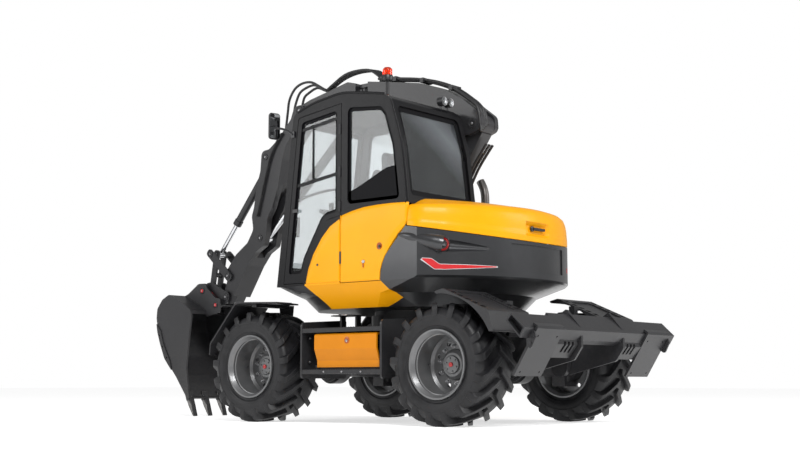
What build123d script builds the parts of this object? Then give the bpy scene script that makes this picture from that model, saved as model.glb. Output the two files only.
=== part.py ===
from build123d import *
import os
from math import atan2, cos, degrees, hypot, pi, radians, sin, sqrt, tan

# Compact wheeled excavator, in millimetres.
# X points forward to the bucket, Y to the left (the door side), Z up; the floor is at Z = 0.
# Places along the machine are given as a distance ahead of the slewing axis.

# Driving sizes of the whole machine
FRONT_END = 3681.0             # back of the bucket, ahead of the slewing axis
REAR_END = -2084.0             # stabiliser pads, behind it
SLEW_X = -(FRONT_END + REAR_END) / 2
WHEELBASE = 2260.0
TRACK = 1960.0
FRONT_AXLE = WHEELBASE / 2
REAR_AXLE = -WHEELBASE / 2
WHEEL_Y = TRACK / 2

# Tyres and rims
TYRE_R = 525.0
TYRE_W = 480.0
LUG_H = 42.0
LUG_W = 46.0
LUG_COUNT = 17
LUG_SLANT = 38.0
TYRE_SIDES = 24                # flat facets round the carcass
TREAD_SIDES = 36               # and round the tops of the lugs
RIM_R = 270.0
RIM_LIP_R = 297.0
RIM_HALF = 228.0
RIM_WALL = 14.0
DISC_OFFSET = -44.0            # disc plane from the middle of the wheel, inboard negative
DISC_T = 16.0
HUB_DOME_R = 128.0
HUB_DOME_H = 46.0
AXLE_Z = TYRE_R

# Steering knuckles and axles
KINGPIN_Y = 800.0
KINGPIN_R = 40.0
KNUCKLE_R = 138.0
EAR_REACH = 190.0
EAR_GAP = 150.0
AXLE_R = 95.0
SEAT_GAP = 0.3                 # running gap between pieces that carry each other
MOVE_GAP = 6.0                 # free gap between pieces that move past each other

# Chassis
FRAME_HALF = 330.0
FRAME_TOP = 880.0
FRAME_FRONT = 1600.0
FRAME_REAR = -1560.0
RING_R = 480.0
DECK_Z = 1050.0                # underside of the turning upper body
STEP_HALF = 495.0
STEP_OUT = 1170.0
STEP_IN = 560.0
STEP_TOP = 965.0
STEP_BOTTOM = 410.0
BOX_FRONT = 330.0
BOX_REAR = -430.0
BOX_LOW = 510.0
BOX_HIGH = 815.0

# Stabiliser
STAB_PIVOT = (-1400.0, 500.0)
STAB_HALF = 1250.0
STAB_BASE = (-1300.0, 830.0)
STAB_EYE = (-1790.0, 790.0)

# Upper body: a round plan of BODY_R cut flat at the sides
BODY_R = 1420.0
BODY_SIDE = 1130.0
SKIN = 30.0
FLOOR_Z = 1270.0
CREASE_Z = 1270.0
SKIRT_IN = 930.0

# Cab
CAB_LEFT = 1120.0
CAB_RIGHT = 100.0
CAB_WALL = 45.0
GLASS_T = 6.0

# Arm: the plane that all its links lie in, and its pins (ahead of slewing axis, height)
ARM_Y = -140.0
ARM_HALF = 140.0
LOWER_HALF = 80.0
FOOT = (270.0, 1350.0)
KNEE = (-630.0, 2840.0)
OFFSET_X = 820.0
ELBOW = (1690.0, 3280.0)
DIPPER_LUG = (2270.0, 1940.0)
DIPPER_BASE = (1020.0, 3100.0)
BUCKET_BASE = (2200.0, 2830.0)
ROCKER_PIN = (2750.0, 1550.0)
LINK_PIN = (3040.0, 1810.0)
BUCKET_PIN = (2840.0, 1320.0)
COUPLER_PIN = (3100.0, 1440.0)
LIFT_BASE = (930.0, 1150.0)
LIFT_REACH = 750.0
LIFT_Y = 136.0                 # lift cylinders beside the arm's plane
LIFT_R = 42.0
LIFT_EYE_W = 2 * LIFT_R
CHEEK_IN = LIFT_Y + LIFT_R + 4
BOOM_CYL_REACH = 300.0
BOOM_CYL_OFF = 200.0
BOOM_CYL_EYE = (69.0, 2800.0)
BUCKET_W = 750.0
FOOT_PIN_R = 35.0
KNEE_PIN_R = 38.0
OFFSET_PIN_R = 32.0
ELBOW_PIN_R = 35.0
TIP_PIN_R = 30.0
ROCKER_PIN_R = 28.0
BASE_PIN_R = 20.0              # pins of the cylinders' base eyes

# Hinges of doors, hood and lids
HINGE_R = 6.0
DOOR_PIN = (54.0, 1112.0)
PANEL_PIN = (-728.0, 1122.0)
HOOD_PIN = (-740.0, 2030.0)
HOOD_HINGES = (-60.0, -300.0)
LID_PIN = (1111.0, 520.0)
LID_PIN_R = 4.0


def at(x):
    """Frame X of a place given ahead of the slewing axis."""
    return SLEW_X + x


def block(x0, x1, y0, y1, z0, z1):
    """Box between two corners, x ahead of the slewing axis."""
    size = (x1 - x0, y1 - y0, z1 - z0)
    middle = (at((x0 + x1) / 2), (y0 + y1) / 2, (z0 + z1) / 2)
    return Pos(*middle) * Box(*size)


def rod(p, q, r):
    """Round bar of radius r from p to q, in frame coordinates."""
    start = Vector(*p)
    way = Vector(*q) - start
    return Plane(start, z_dir=way) * Cylinder(r, way.length, align=(Align.CENTER, Align.CENTER, Align.MIN))


def cross(x, z, r, y0, y1):
    """Round bar across the machine at (x, z)."""
    return rod((at(x), y0, z), (at(x), y1, z), r)


def upright(x, y, r, z0, z1):
    """Round upright bar."""
    return rod((at(x), y, z0), (at(x), y, z1), r)


def corner(before, point, after, r):
    """Start, middle and end of the arc that rounds a corner, kept within half of either edge."""
    to_before = (before - point).normalized()
    to_after = (after - point).normalized()
    half_turn = max((pi - radians(to_before.get_angle(to_after))) / 2, 0.002)
    reach = min(r * tan(half_turn), 0.49 * (before - point).length, 0.49 * (after - point).length)
    r = reach / tan(half_turn)
    bisector = (to_before + to_after).normalized()
    centre = point + bisector * hypot(reach, r)
    return point + to_before * reach, centre - bisector * r, point + to_after * reach


def outline(points):
    """Face from rows of (a, b) or (a, b, corner radius)."""
    spots = [Vector(p[0], p[1]) for p in points]
    count = len(spots)
    pieces = []
    for i, p in enumerate(points):
        if len(p) > 2:
            pieces.append(corner(spots[i - 1], spots[i], spots[(i + 1) % count], p[2]))
        else:
            pieces.append((spots[i], None, spots[i]))
    edges = []
    for i, (start, middle, end) in enumerate(pieces):
        if middle is not None:
            edges.append(Edge.make_three_point_arc(start, middle, end))
        edges.append(Edge.make_line(end, pieces[(i + 1) % count][0]))
    return make_face(Wire(edges))


def side_plate(points, y0, y1):
    """Plate seen from the side: rows of (x ahead of the slewing axis, z, corner radius)."""
    plane = Plane((at(0), y1, 0), x_dir=(1, 0, 0), z_dir=(0, -1, 0))
    return extrude(plane * outline(points), amount=y1 - y0)


def flat_plate(points, z0, z1):
    """Plate seen from above: rows of (x, y, corner radius)."""
    plane = Plane((at(0), 0, z0), x_dir=(1, 0, 0), z_dir=(0, 0, 1))
    return extrude(plane * outline(points), amount=z1 - z0)


def end_plate(points, x0, x1):
    """Plate seen from the front: rows of (y, z, corner radius)."""
    plane = Plane((at(x0), 0, 0), x_dir=(0, 1, 0), z_dir=(1, 0, 0))
    return extrude(plane * outline(points), amount=x1 - x0)


def polar(start, reach, angle):
    """Point at a reach and an angle in degrees from a start in the side view."""
    return (start[0] + reach * cos(radians(angle)), start[1] + reach * sin(radians(angle)))


def heading(start, end):
    """Angle in degrees from start to end in the side view."""
    return degrees(atan2(end[1] - start[1], end[0] - start[0]))


def save(shape, node):
    """Write one node."""
    export_step(shape, f"parts/{node}.step")


# Wheels

def wheel_profile(rows, side):
    """Solid of revolution about the wheel's axis; rows are (outboard, radius, corner radius)."""
    plane = Plane((0, 0, 0), x_dir=(0, side, 0), z_dir=(side, 0, 0))
    return revolve(plane * outline(rows), Axis.Y)


def facet_ring(rows, sides):
    """Ring with flat facets about the wheel's axis; rows are (across, radius) round its section."""
    rings = []
    for across, radius in rows:
        angles = [2 * pi * i / sides for i in range(sides)]
        rings.append([(radius * cos(a), across, radius * sin(a)) for a in angles])
    faces = []
    for row, ring in enumerate(rings):
        beyond = rings[(row + 1) % len(rings)]
        for i in range(sides):
            k = (i + 1) % sides
            faces.append(Face(Wire.make_polygon([ring[i], ring[k], beyond[k], beyond[i]])))
    return Solid(Shell(faces))


def tyre():
    """Carcass with two staggered rows of slanted lugs, at the origin."""
    half = TYRE_W / 2
    root = TYRE_R - LUG_H
    bead = RIM_HALF - 25
    seat = (RIM_R + SEAT_GAP) / cos(pi / TYRE_SIDES)
    carcass = [
        (-bead, seat), (bead, seat), (bead + 6, RIM_LIP_R + 8), (half, RIM_LIP_R + 90), (half - 40, root),
        (-half + 40, root), (-half, RIM_LIP_R + 90), (-bead - 6, RIM_LIP_R + 8),
    ]
    lug_long = (half - 4) / cos(radians(LUG_SLANT)) * 1.02
    top = TYRE_R + 12
    depth = top - root + 22
    lugs = []
    for side in (-1, 1):
        for i in range(LUG_COUNT):
            turn = 360 / LUG_COUNT * (i + (0.25 if side > 0 else -0.25))
            bar = Pos(0, side * (half / 2 + 3), top - depth / 2) * Rot(0, 0, side * -LUG_SLANT)
            lugs.append(Rot(0, turn, 0) * bar * Box(LUG_W, lug_long, depth))
    keep = facet_ring([(-half, 300), (half, 300), (half, TYRE_R - 16), (half - 18, TYRE_R), (-half + 18, TYRE_R),
                       (-half, TYRE_R - 16)], TREAD_SIDES)
    treads = (Part() + lugs) & keep
    return facet_ring(carcass, TYRE_SIDES) + treads


def rim(side):
    """Deep-dish rim with its hub dome, at the origin; side is +1 on the left."""
    disc = DISC_OFFSET
    rows = [
        (-RIM_HALF, RIM_LIP_R), (-RIM_HALF, RIM_LIP_R - RIM_WALL),
        (-RIM_HALF + 34, RIM_R - RIM_WALL), (disc - DISC_T, RIM_R - RIM_WALL),
        (disc - DISC_T, 0), (disc + HUB_DOME_H, 0), (disc + HUB_DOME_H, HUB_DOME_R - 26),
        (disc + HUB_DOME_H - 22, HUB_DOME_R), (disc, HUB_DOME_R + 8),
        (disc, RIM_R - RIM_WALL - 22), (disc + 24, RIM_R - RIM_WALL),
        (RIM_HALF - 34, RIM_R - RIM_WALL), (RIM_HALF, RIM_LIP_R - RIM_WALL),
        (RIM_HALF, RIM_LIP_R), (RIM_HALF - 16, RIM_LIP_R), (RIM_HALF - 22, RIM_R),
        (-RIM_HALF + 22, RIM_R), (-RIM_HALF + 16, RIM_LIP_R),
    ]
    shape = wheel_profile(rows, side)
    for i in range(8):
        hole = Rot(0, 45 * i + 22.5, 0) * Pos(0, 0, 190) * Rot(90, 0, 0)
        shape -= hole * Cylinder(20, 400)
    return shape


def wheels():
    """All four tyres and rims: rows of name, axle, side."""
    carcass = tyre()
    for name, axle, side in CORNERS:
        place = Pos(at(axle), side * WHEEL_Y, AXLE_Z)
        save(place * carcass, f"tyre_{name}")
        save(place * rim(side), f"rim_{name}")


CORNERS = [
    ("front_left", FRONT_AXLE, 1), ("front_right", FRONT_AXLE, -1),
    ("rear_left", REAR_AXLE, 1), ("rear_right", REAR_AXLE, -1),
]


# Axles and knuckles

def axle(x):
    """Axle housing with its differential bulge and the forks that hold the knuckles."""
    web = KINGPIN_Y - 84
    shape = rod((at(x), -web, AXLE_Z), (at(x), web, AXLE_Z), AXLE_R)
    for r, half in ((AXLE_R + 70, 70), (AXLE_R + 50, 110), (AXLE_R + 25, 145)):
        bulge = rod((at(x), -half, AXLE_Z), (at(x), half, AXLE_Z), r)
        shape += bulge - block(x - 300, x + 300, -300, 300, 650, 800)
    for side in (-1, 1):
        shape += block(x - 110, x + 110, *sorted((side * 190, side * 300)), AXLE_Z, 650)
        shape += block(x - 70, x + 70, *sorted((side * (web - 40), side * web)),
                       AXLE_Z - EAR_REACH, AXLE_Z + EAR_REACH)
        for top in (-1, 1):
            low, high = sorted((AXLE_Z + top * EAR_GAP, AXLE_Z + top * EAR_REACH))
            shape += block(x - 70, x + 70, *sorted((side * (web - 40), side * (KINGPIN_Y + 70))), low, high)
        shape -= upright(x, side * KINGPIN_Y, KINGPIN_R + SEAT_GAP, AXLE_Z - 250, AXLE_Z + 250)
    return shape


def knuckle(x, side):
    """Hub carrier on its king pins, up to the face that the rim's disc seats on."""
    face = WHEEL_Y + DISC_OFFSET - DISC_T - SEAT_GAP
    inner, outer = KINGPIN_Y + 4, face
    shape = rod((at(x), side * inner, AXLE_Z), (at(x), side * outer, AXLE_Z), KNUCKLE_R)
    shape += upright(x, side * KINGPIN_Y, 62, AXLE_Z - EAR_GAP + SEAT_GAP, AXLE_Z + EAR_GAP - SEAT_GAP)
    shape += upright(x, side * KINGPIN_Y, KINGPIN_R, AXLE_Z - EAR_REACH, AXLE_Z + EAR_REACH + 30)
    return shape


def front_guard(x, side):
    """Thin bent mudguard over a front wheel, on the bracket that turns with the knuckle."""
    inner, outer = KINGPIN_Y - 40, WHEEL_Y + TYRE_W / 2 - 4
    rows = [
        (x - 360, 1112), (x + 190, 1130, 90), (x + 540, 745, 60), (x + 548, 640),
        (x + 562, 640), (x + 556, 752, 60), (x + 198, 1144, 90), (x - 360, 1126),
    ]
    low, high = sorted((side * inner, side * outer))
    sheet = side_plate(rows, low, high)
    cut = flat_plate([(x - 400, side * 700), (x - 180, side * 700), (x - 320, side * 1010),
                      (x - 400, side * 1010)], 1000, 1200)
    sheet -= cut
    arm_low, arm_high = sorted((side * 700, side * 725))
    arm = side_plate([(x - 45, AXLE_Z + EAR_REACH + 8), (x + 45, AXLE_Z + EAR_REACH + 8),
                      (x + 90, 1125), (x - 90, 1119)], arm_low, arm_high)
    foot_low, foot_high = sorted((side * 700, side * (KINGPIN_Y + 30)))
    arm += block(x - 45, x + 45, foot_low, foot_high, AXLE_Z + EAR_REACH + 8, AXLE_Z + EAR_REACH + 30)
    rail_low, rail_high = sorted((side * 700, side * (outer - 60)))
    arm += block(x - 30, x + 30, rail_low, rail_high, 1092, 1126)
    return sheet + arm


def running_gear():
    """Axles in one node, a knuckle at each corner, the front ones with their mudguards."""
    save(Compound(children=[axle(FRONT_AXLE), axle(REAR_AXLE)]), "axles")
    for name, x, side in CORNERS:
        shape = knuckle(x, side)
        if x > 0:
            shape += front_guard(x, side)
        save(shape, f"knuckle_{name}")


# Chassis

def chassis_frame():
    """Welded frame with raised ends over the axles and the fixed half of the slewing ring."""
    rows = [
        (FRAME_REAR, 650), (-860, 650), (-700, 450, 60), (700, 450, 60), (860, 650),
        (FRAME_FRONT, 650), (FRAME_FRONT, 780), (1400, FRAME_TOP), (-1250, FRAME_TOP), (FRAME_REAR, 830),
    ]
    shape = side_plate(rows, -FRAME_HALF, FRAME_HALF)
    shape += upright(0, 0, RING_R, FRAME_TOP - 20, DECK_Z - 40 - SEAT_GAP)
    shape -= side_plate([(-620, 540), (620, 540), (620, 790), (-620, 790)], -250, 250)
    shape -= block(FRAME_REAR - 10, -1240, -110, 110, 600, 900)
    pivot_x, pivot_z = STAB_PIVOT
    for side in (-1, 1):
        low, high = sorted((side * (FRAME_HALF - 10), side * STEP_IN))
        for x in (-330, 330):
            shape += block(x - 60, x + 60, low, high, 560, 760)
        web_low, web_high = sorted((side * 270, side * FRAME_HALF))
        web = [(pivot_x - 120, 700), (pivot_x + 110, 700), (pivot_x + 70, pivot_z - 70, 60),
               (pivot_x - 70, pivot_z - 70, 60)]
        shape += side_plate(web, web_low, web_high)
        low, high = sorted((side * (FRAME_HALF - 20), side * (FRAME_HALF + 48)))
        shape += cross(pivot_x, pivot_z, 34, low, high)
        cheek_low, cheek_high = sorted((side * 52, side * 112))
        cheek = [(STAB_BASE[0] - 60, 780), (STAB_BASE[0] + 80, 780), (STAB_BASE[0] + 60, STAB_BASE[1] + 60, 40),
                 (STAB_BASE[0] - 60, STAB_BASE[1] + 60, 40)]
        shape += side_plate(cheek, cheek_low, cheek_high)
    shape += cross(*STAB_BASE, BASE_PIN_R, -80, 80)
    for side in (-1, 1):
        low, high = sorted((side * (FRAME_HALF - 20), side * 560))
        shape += block(REAR_AXLE - 300, REAR_AXLE - 240, low, high, 770, 830)
    return shape


def step_frame(side):
    """Side step and tool box carrier: end plates, two tread rails, box walls, open lid side."""
    low, high = sorted((side * STEP_IN, side * STEP_OUT))
    shape = None
    for x in (-STEP_HALF, STEP_HALF - 22):
        end = end_plate([(low, STEP_BOTTOM, 25), (high, STEP_BOTTOM, 25), (high, STEP_TOP - 40, 40),
                         (low, STEP_TOP, 20)], x, x + 22)
        shape = end if shape is None else shape + end
    rail_low, rail_high = sorted((side * (STEP_OUT - 150), side * (STEP_OUT - 2)))
    for z in (BOX_LOW - 60, BOX_HIGH + 12):
        shape += block(-STEP_HALF, STEP_HALF, rail_low, rail_high, z, z + 38)
    floor_low, floor_high = sorted((side * STEP_IN, side * (STEP_OUT - 78)))
    shape += block(BOX_REAR - 12, BOX_FRONT + 12, floor_low, floor_high, BOX_LOW - 22, BOX_LOW - 2)
    floor_low, floor_high = sorted((side * STEP_IN, side * (STEP_OUT - 60)))
    shape += block(-STEP_HALF, STEP_HALF, floor_low, floor_high, BOX_HIGH + 14, BOX_HIGH + 30)
    back_low, back_high = sorted((side * STEP_IN, side * (STEP_IN + 20)))
    shape += block(-STEP_HALF, STEP_HALF, back_low, back_high, BOX_LOW - 22, BOX_HIGH + 30)
    for x in (BOX_REAR - 12, BOX_FRONT):
        wall_low, wall_high = sorted((side * STEP_IN, side * (STEP_OUT - 70)))
        shape += block(x, x + 12, wall_low, wall_high, BOX_LOW - 22, BOX_HIGH + 30)
        tab_low, tab_high = sorted((side * (STEP_OUT - 71), side * (LID_PIN[0] + 12)))
        shape += block(x, x + 12, tab_low, tab_high, LID_PIN[1] - 12, LID_PIN[1] + 12)
    ends = [(BOX_REAR - 6, BOX_REAR + 16), (BOX_FRONT - 16, BOX_FRONT + 6)]
    for start, end in ends:
        shape += rod((at(start), side * LID_PIN[0], LID_PIN[1]), (at(end), side * LID_PIN[0], LID_PIN[1]), LID_PIN_R)
    return shape


def box_lid(side):
    """Folded lid of a tool box, hinged along its top edge."""
    outer = STEP_OUT - 8
    face = [(outer - 60, BOX_HIGH), (outer - 14, BOX_HIGH), (outer, BOX_HIGH - 14), (outer, BOX_LOW + 165),
            (outer - 42, BOX_LOW + 60), (outer - 42, BOX_LOW), (outer - 60, BOX_LOW), (outer - 60, BOX_LOW + 64),
            (outer - 18, BOX_LOW + 169), (outer - 18, BOX_HIGH - 18), (outer - 60, BOX_HIGH - 18)]
    rows = [(side * y, z) for y, z in face]
    shape = end_plate(rows, BOX_REAR + 5, BOX_FRONT - 5)
    pin_y = side * LID_PIN[0]
    for start, end in ((BOX_REAR, BOX_REAR + 18), (BOX_FRONT - 18, BOX_FRONT)):
        shape -= rod((at(start), pin_y, LID_PIN[1]), (at(end), pin_y, LID_PIN[1]), LID_PIN_R + SEAT_GAP)
    return shape


def rear_guard(side):
    """Moulded step and mudguard over the rear of a rear wheel, with its bracket to the frame."""
    x = REAR_AXLE
    low, high = sorted((side * 590, side * 1190))
    shape = side_plate([(x + 40, 1141, 8), (x - 60, 1165, 30), (x - 525, 968, 30), (x - 575, 790, 10),
                        (x - 500, 790)], low, high)
    shape -= cross(x, AXLE_Z, 598, low - 5, high + 5)
    shape -= on_slope(x, side, 60, 455, 705, 1080, 14, 45)
    for i in range(5):
        start = 55 + 84 * i
        for near in (612, 1102):
            shape -= on_slope(x, side, start, start + 46, near, near + 72, 12, 6)
    lamp = rod((at(x - 560), side * 840, 880), (at(x - 400), side * 840, 940), 52)
    return shape - lamp + rod((at(x - 548), side * 840, 884), (at(x - 400), side * 840, 940), 40)


def on_slope(x, side, start, end, near, far, depth, r):
    """Sunk field in a guard's sloping top: reach down the slope, and across from near to far."""
    slope = Plane((at(x - 60), 0, 1165), x_dir=(-465, 0, -197), z_dir=(-197, 0, 465))
    near, far = sorted((-side * near, -side * far))
    field = outline([(start, near, r), (end, near, r), (end, far, r), (start, far, r)])
    return extrude(slope.offset(-depth) * field, amount=depth + 40)


def chassis():
    """Frame, side steps, rear mudguards and the tool box lids."""
    frame = chassis_frame()
    guards = []
    for side in (-1, 1):
        guards.append(rear_guard(side))
        post_low, post_high = sorted((side * 500, side * 560))
        frame += block(REAR_AXLE - 300, REAR_AXLE - 240, post_low, post_high, 770, 1080)
        post_low, post_high = sorted((side * 500, side * 590))
        frame += block(REAR_AXLE - 300, REAR_AXLE - 240, post_low, post_high, 1040, 1080)
    save(frame, "chassis_frame")
    save(Compound(children=[step_frame(1), step_frame(-1)]), "side_steps")
    save(Compound(children=guards), "rear_guards")
    save(box_lid(1), "box_lid_left")
    save(box_lid(-1), "box_lid_right")


# Stabiliser

def stabiliser_frame():
    """Side plates on the rear pivot, the cross beam, and the lugs for its cylinder."""
    section = [(-1880, 870), (-1930, 930), (-2060, 810), (-2010, 730)]
    shape = side_plate(section, -STAB_HALF, STAB_HALF)
    deep = [(-1840, 830), (-1900, 955), (-2035, 833), (-2010, 730), (-1930, 700)]
    shape += side_plate(deep, -700, 700)
    pivot_x, pivot_z = STAB_PIVOT
    plate = [(pivot_x + 55, pivot_z + 20, 50), (pivot_x + 30, pivot_z + 90, 50), (-1665, 852, 60), (-1887, 1000, 15),
             (-2035, 833), (-2035, 672, 15), (-1960, 564, 40), (pivot_x - 60, pivot_z - 60, 60),
             (pivot_x + 50, pivot_z - 60, 50)]
    for side in (-1, 1):
        low, high = sorted((side * (FRAME_HALF + MOVE_GAP), side * (FRAME_HALF + MOVE_GAP + 28)))
        shape += side_plate(plate, low, high)
    lug = [(-1750, 735, 30), (-1750, 845, 30), (-1860, 900), (-1930, 740)]
    for y in (-70, 50):
        shape += side_plate(lug, y, y + 20)
    shape -= cross(pivot_x, pivot_z, 34 + SEAT_GAP, -500, 500)
    for side in (-1, 1):
        low, high = sorted((side * 380, side * 700))
        shape += side_plate([(-1880, 600), (-1930, 705), (-2008, 732), (-2010, 690), (-1920, 580)], low, high)
        for near in (440, 500, 560):
            low, high = sorted((side * near, side * (near + 34)))
            shape -= side_plate([(-2030, 625), (-2030, 715), (-1985, 715), (-1950, 625)], low, high)
        low, high = sorted((side * (STAB_HALF - 70), side * (STAB_HALF + 5)))
        shape -= side_plate([(-1897, 872), (-1932, 914), (-2044, 811), (-2007, 750)], low, high)
        low, high = sorted((side * 1104, side * 1122))
        bracket = [(-1985, 775), (-2062, 800, 20), (-2080, 735, 25), (-2030, 640, 25), (-1990, 668, 25)]
        shape += side_plate(bracket, low, high)
        for spot in ((-2055, 752), (-2025, 690)):
            low, high = sorted((side * 1118, side * 1134))
            shape += cross(*spot, 15, low, high)
    return shape


def stabiliser_pad(side):
    """Foot plate under the end of the beam, with its bent top edge."""
    low, high = sorted((side * 700, side * 1100))
    run = (0.53, -0.848)
    top, foot = (-2060 - 10 * run[0], 810 - 10 * run[1]), (-2060 + 440 * run[0], 810 + 440 * run[1])
    out = (-0.848 * 22, -0.53 * 22)
    plate = [top, foot, (foot[0] + out[0], foot[1] + out[1]), (top[0] + out[0], top[1] + out[1])]
    shape = side_plate(plate, low, high)
    shape += side_plate([(top[0] + out[0], top[1] + out[1]), top, (top[0] + 30, top[1] + 18),
                         (top[0] + 22, top[1] + 36), (top[0] + out[0], top[1] + out[1] + 24)], low, high)
    for reach in (60, 400):
        for y in (760, 1040):
            spot = (-2060 + reach * run[0], 810 + reach * run[1])
            shape -= rod((at(spot[0] + 30 * 0.848), side * y, spot[1] + 30 * 0.53),
                         (at(spot[0] - 60 * 0.848), side * y, spot[1] - 60 * 0.53), 9)
    return shape


def stabiliser():
    """Frame, pads and the cylinder that lowers them."""
    save(stabiliser_frame(), "stabiliser_frame")
    save(Compound(children=[stabiliser_pad(1), stabiliser_pad(-1)]), "stabiliser_pads")
    cylinder("stabiliser", STAB_BASE, STAB_EYE, 45, 425, 420, 0, 96)


# Cylinders

def barrel(base, eye, r, length, y, width):
    """Cylinder tube from its base eye towards the rod's eye; width is that of the base eye."""
    way = heading(base, eye)
    rod_r = 0.58 * r
    shape = cross(base[0], base[1], r + 6, y - width / 2, y + width / 2)
    mouth = polar(base, length, way)
    shape += rod((at(base[0]), y, base[1]), (at(mouth[0]), y, mouth[1]), r)
    collar = polar(base, length - 60, way)
    shape += rod((at(collar[0]), y, collar[1]), (at(mouth[0]), y, mouth[1]), r + 7)
    start = polar(base, 46, way)
    end = polar(base, length + 10, way)
    shape -= rod((at(start[0]), y, start[1]), (at(end[0]), y, end[1]), rod_r + SEAT_GAP)
    return shape - cross(*base, BASE_PIN_R + SEAT_GAP, y - width, y + width)


def piston_rod(base, eye, r, length, y, width):
    """Piston rod from inside the tube to its eye."""
    way = heading(base, eye)
    rod_r = 0.58 * r
    tail = polar(eye, -length, way)
    shape = cross(eye[0], eye[1], r - 2, y - width / 2, y + width / 2)
    return shape + rod((at(tail[0]), y, tail[1]), (at(eye[0]), y, eye[1]), rod_r)


def cylinder(name, base, eye, r, tube_long, rod_long, y, width):
    """Write the tube and the rod of one cylinder."""
    save(barrel(base, eye, r, tube_long, y, width), f"{name}_barrel")
    save(piston_rod(base, eye, r, rod_long, y, width), f"{name}_rod")


# Upper body

def body_block():
    """Round-tailed body above its bowl-shaped underside."""
    rows = [(0, DECK_Z), (1000, DECK_Z), (1120, 1170), (1400, 1280), (BODY_R, 1300), (BODY_R, 1760), (0, 1760)]
    plane = Plane((at(0), 0, 0), x_dir=(1, 0, 0), z_dir=(0, -1, 0))
    shape = revolve(plane * outline(rows), Axis((at(0), 0, 0), (0, 0, 1)))
    shape &= block(-1500, 1500, -BODY_SIDE, BODY_SIDE, 900, 2300)
    for side in (-1, 1):
        wedge = [(side * 1131, CREASE_Z), (side * BODY_SIDE, CREASE_Z), (side * 955, 1040), (side * 1131, 1040)]
        shape -= end_plate(wedge, -1500, 1500)
    return shape


LAMP_PLACE = (-1010.0, 985.0, 1560.0)
LAMP_R = 38.0
HORN_SWELL = 24.0
PANEL_DEPTH = 12.0
WEIGHT_INNER_R = 1330.0
WEIGHT_EDGE = [(-1500, 1612), (-730, 1740), (-450, 1440), (-440, 1282), (-630, 1000), (-1500, 1000)]
PANEL_CURVE = [(490, 1285), (452, 1500, 200), (230, 1862, 120), (40, 1892)]


def lamp_axes():
    """Start of the horn, mouth with the lamp and end of the trough, all on the weight's skin."""
    tip = (at(-660), 1130, 1660)
    mouth = (at(LAMP_PLACE[0]), LAMP_PLACE[1], LAMP_PLACE[2])
    end = (at(-1318), 529, 1533)
    return tip, mouth, end


def taper(p, q, r0, r1):
    """Cone from p to q."""
    start = Vector(*p)
    way = Vector(*q) - start
    return Plane(start, z_dir=way) * Cone(r0, r1, way.length, align=(Align.CENTER, Align.CENTER, Align.MIN))


def lamp_horn():
    """Horn that swells out of the weight's side towards the tail lamp."""
    tip, mouth, end = lamp_axes()
    return taper(tip, mouth, 12, 74)


def lamp_trough():
    """Trough behind the lamp, and the lamp's own pocket."""
    tip, mouth, end = lamp_axes()
    out = (mouth[0] - 22, mouth[1] + 22, mouth[2])
    shape = taper(out, (end[0] - 30, end[1] + 22, end[2]), 62, 8)
    return shape + rod(along_line(mouth, tip, -14), along_line(mouth, tip, 30), LAMP_R + 6)


def along_line(start, end, reach):
    """Point at a reach from start towards end."""
    way = (Vector(*end) - Vector(*start)).normalized()
    spot = Vector(*start) + way * reach
    return (spot.X, spot.Y, spot.Z)


def body_block_grown():
    """What the weight's horn may fill: the body's outline, grown by the horn's swell."""
    return upright(0, 0, BODY_R + HORN_SWELL, 1200, 1800) & block(-1500, 0, -1200, BODY_SIDE, 1200, 1800)


def counterweight():
    """Cast weight round the tail, hollow in front for the engine, with its recesses."""
    shape = body_block() & side_plate(WEIGHT_EDGE, -1200, 1200)
    shape -= block(-1200, -300, -930, 930, 1300, 1800) & upright(0, 0, WEIGHT_INNER_R, 1200, 1900)
    shape += lamp_horn() & body_block_grown() & side_plate(WEIGHT_EDGE, -1200, 1200)
    shape -= lamp_trough()
    panel = block(-1500, -1200, -420, 405, 1365, 1600) - upright(0, 0, BODY_R - PANEL_DEPTH, 1200, 1900)
    shape -= panel
    return shape + upright(*PANEL_PIN, HINGE_R, 1725, 1795)


def skirt(side):
    """Panel under the body's crease at one side, from the front step to the weight."""
    low, high = sorted((side * SKIRT_IN, side * 1200))
    edge = side_plate([(486, FLOOR_Z), (-640, FLOOR_Z), (-640, 1030), (300, 1030), (322, 1090, 60)], low, high)
    return body_block() & edge & block(-1500, 1500, -1200, 1200, 900, FLOOR_Z)


def skirts():
    """Both lower panels, clear of the weight."""
    weight = side_plate(WEIGHT_EDGE, -1200, 1200)
    return [skirt(side) - weight for side in (-1, 1)]


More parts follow.
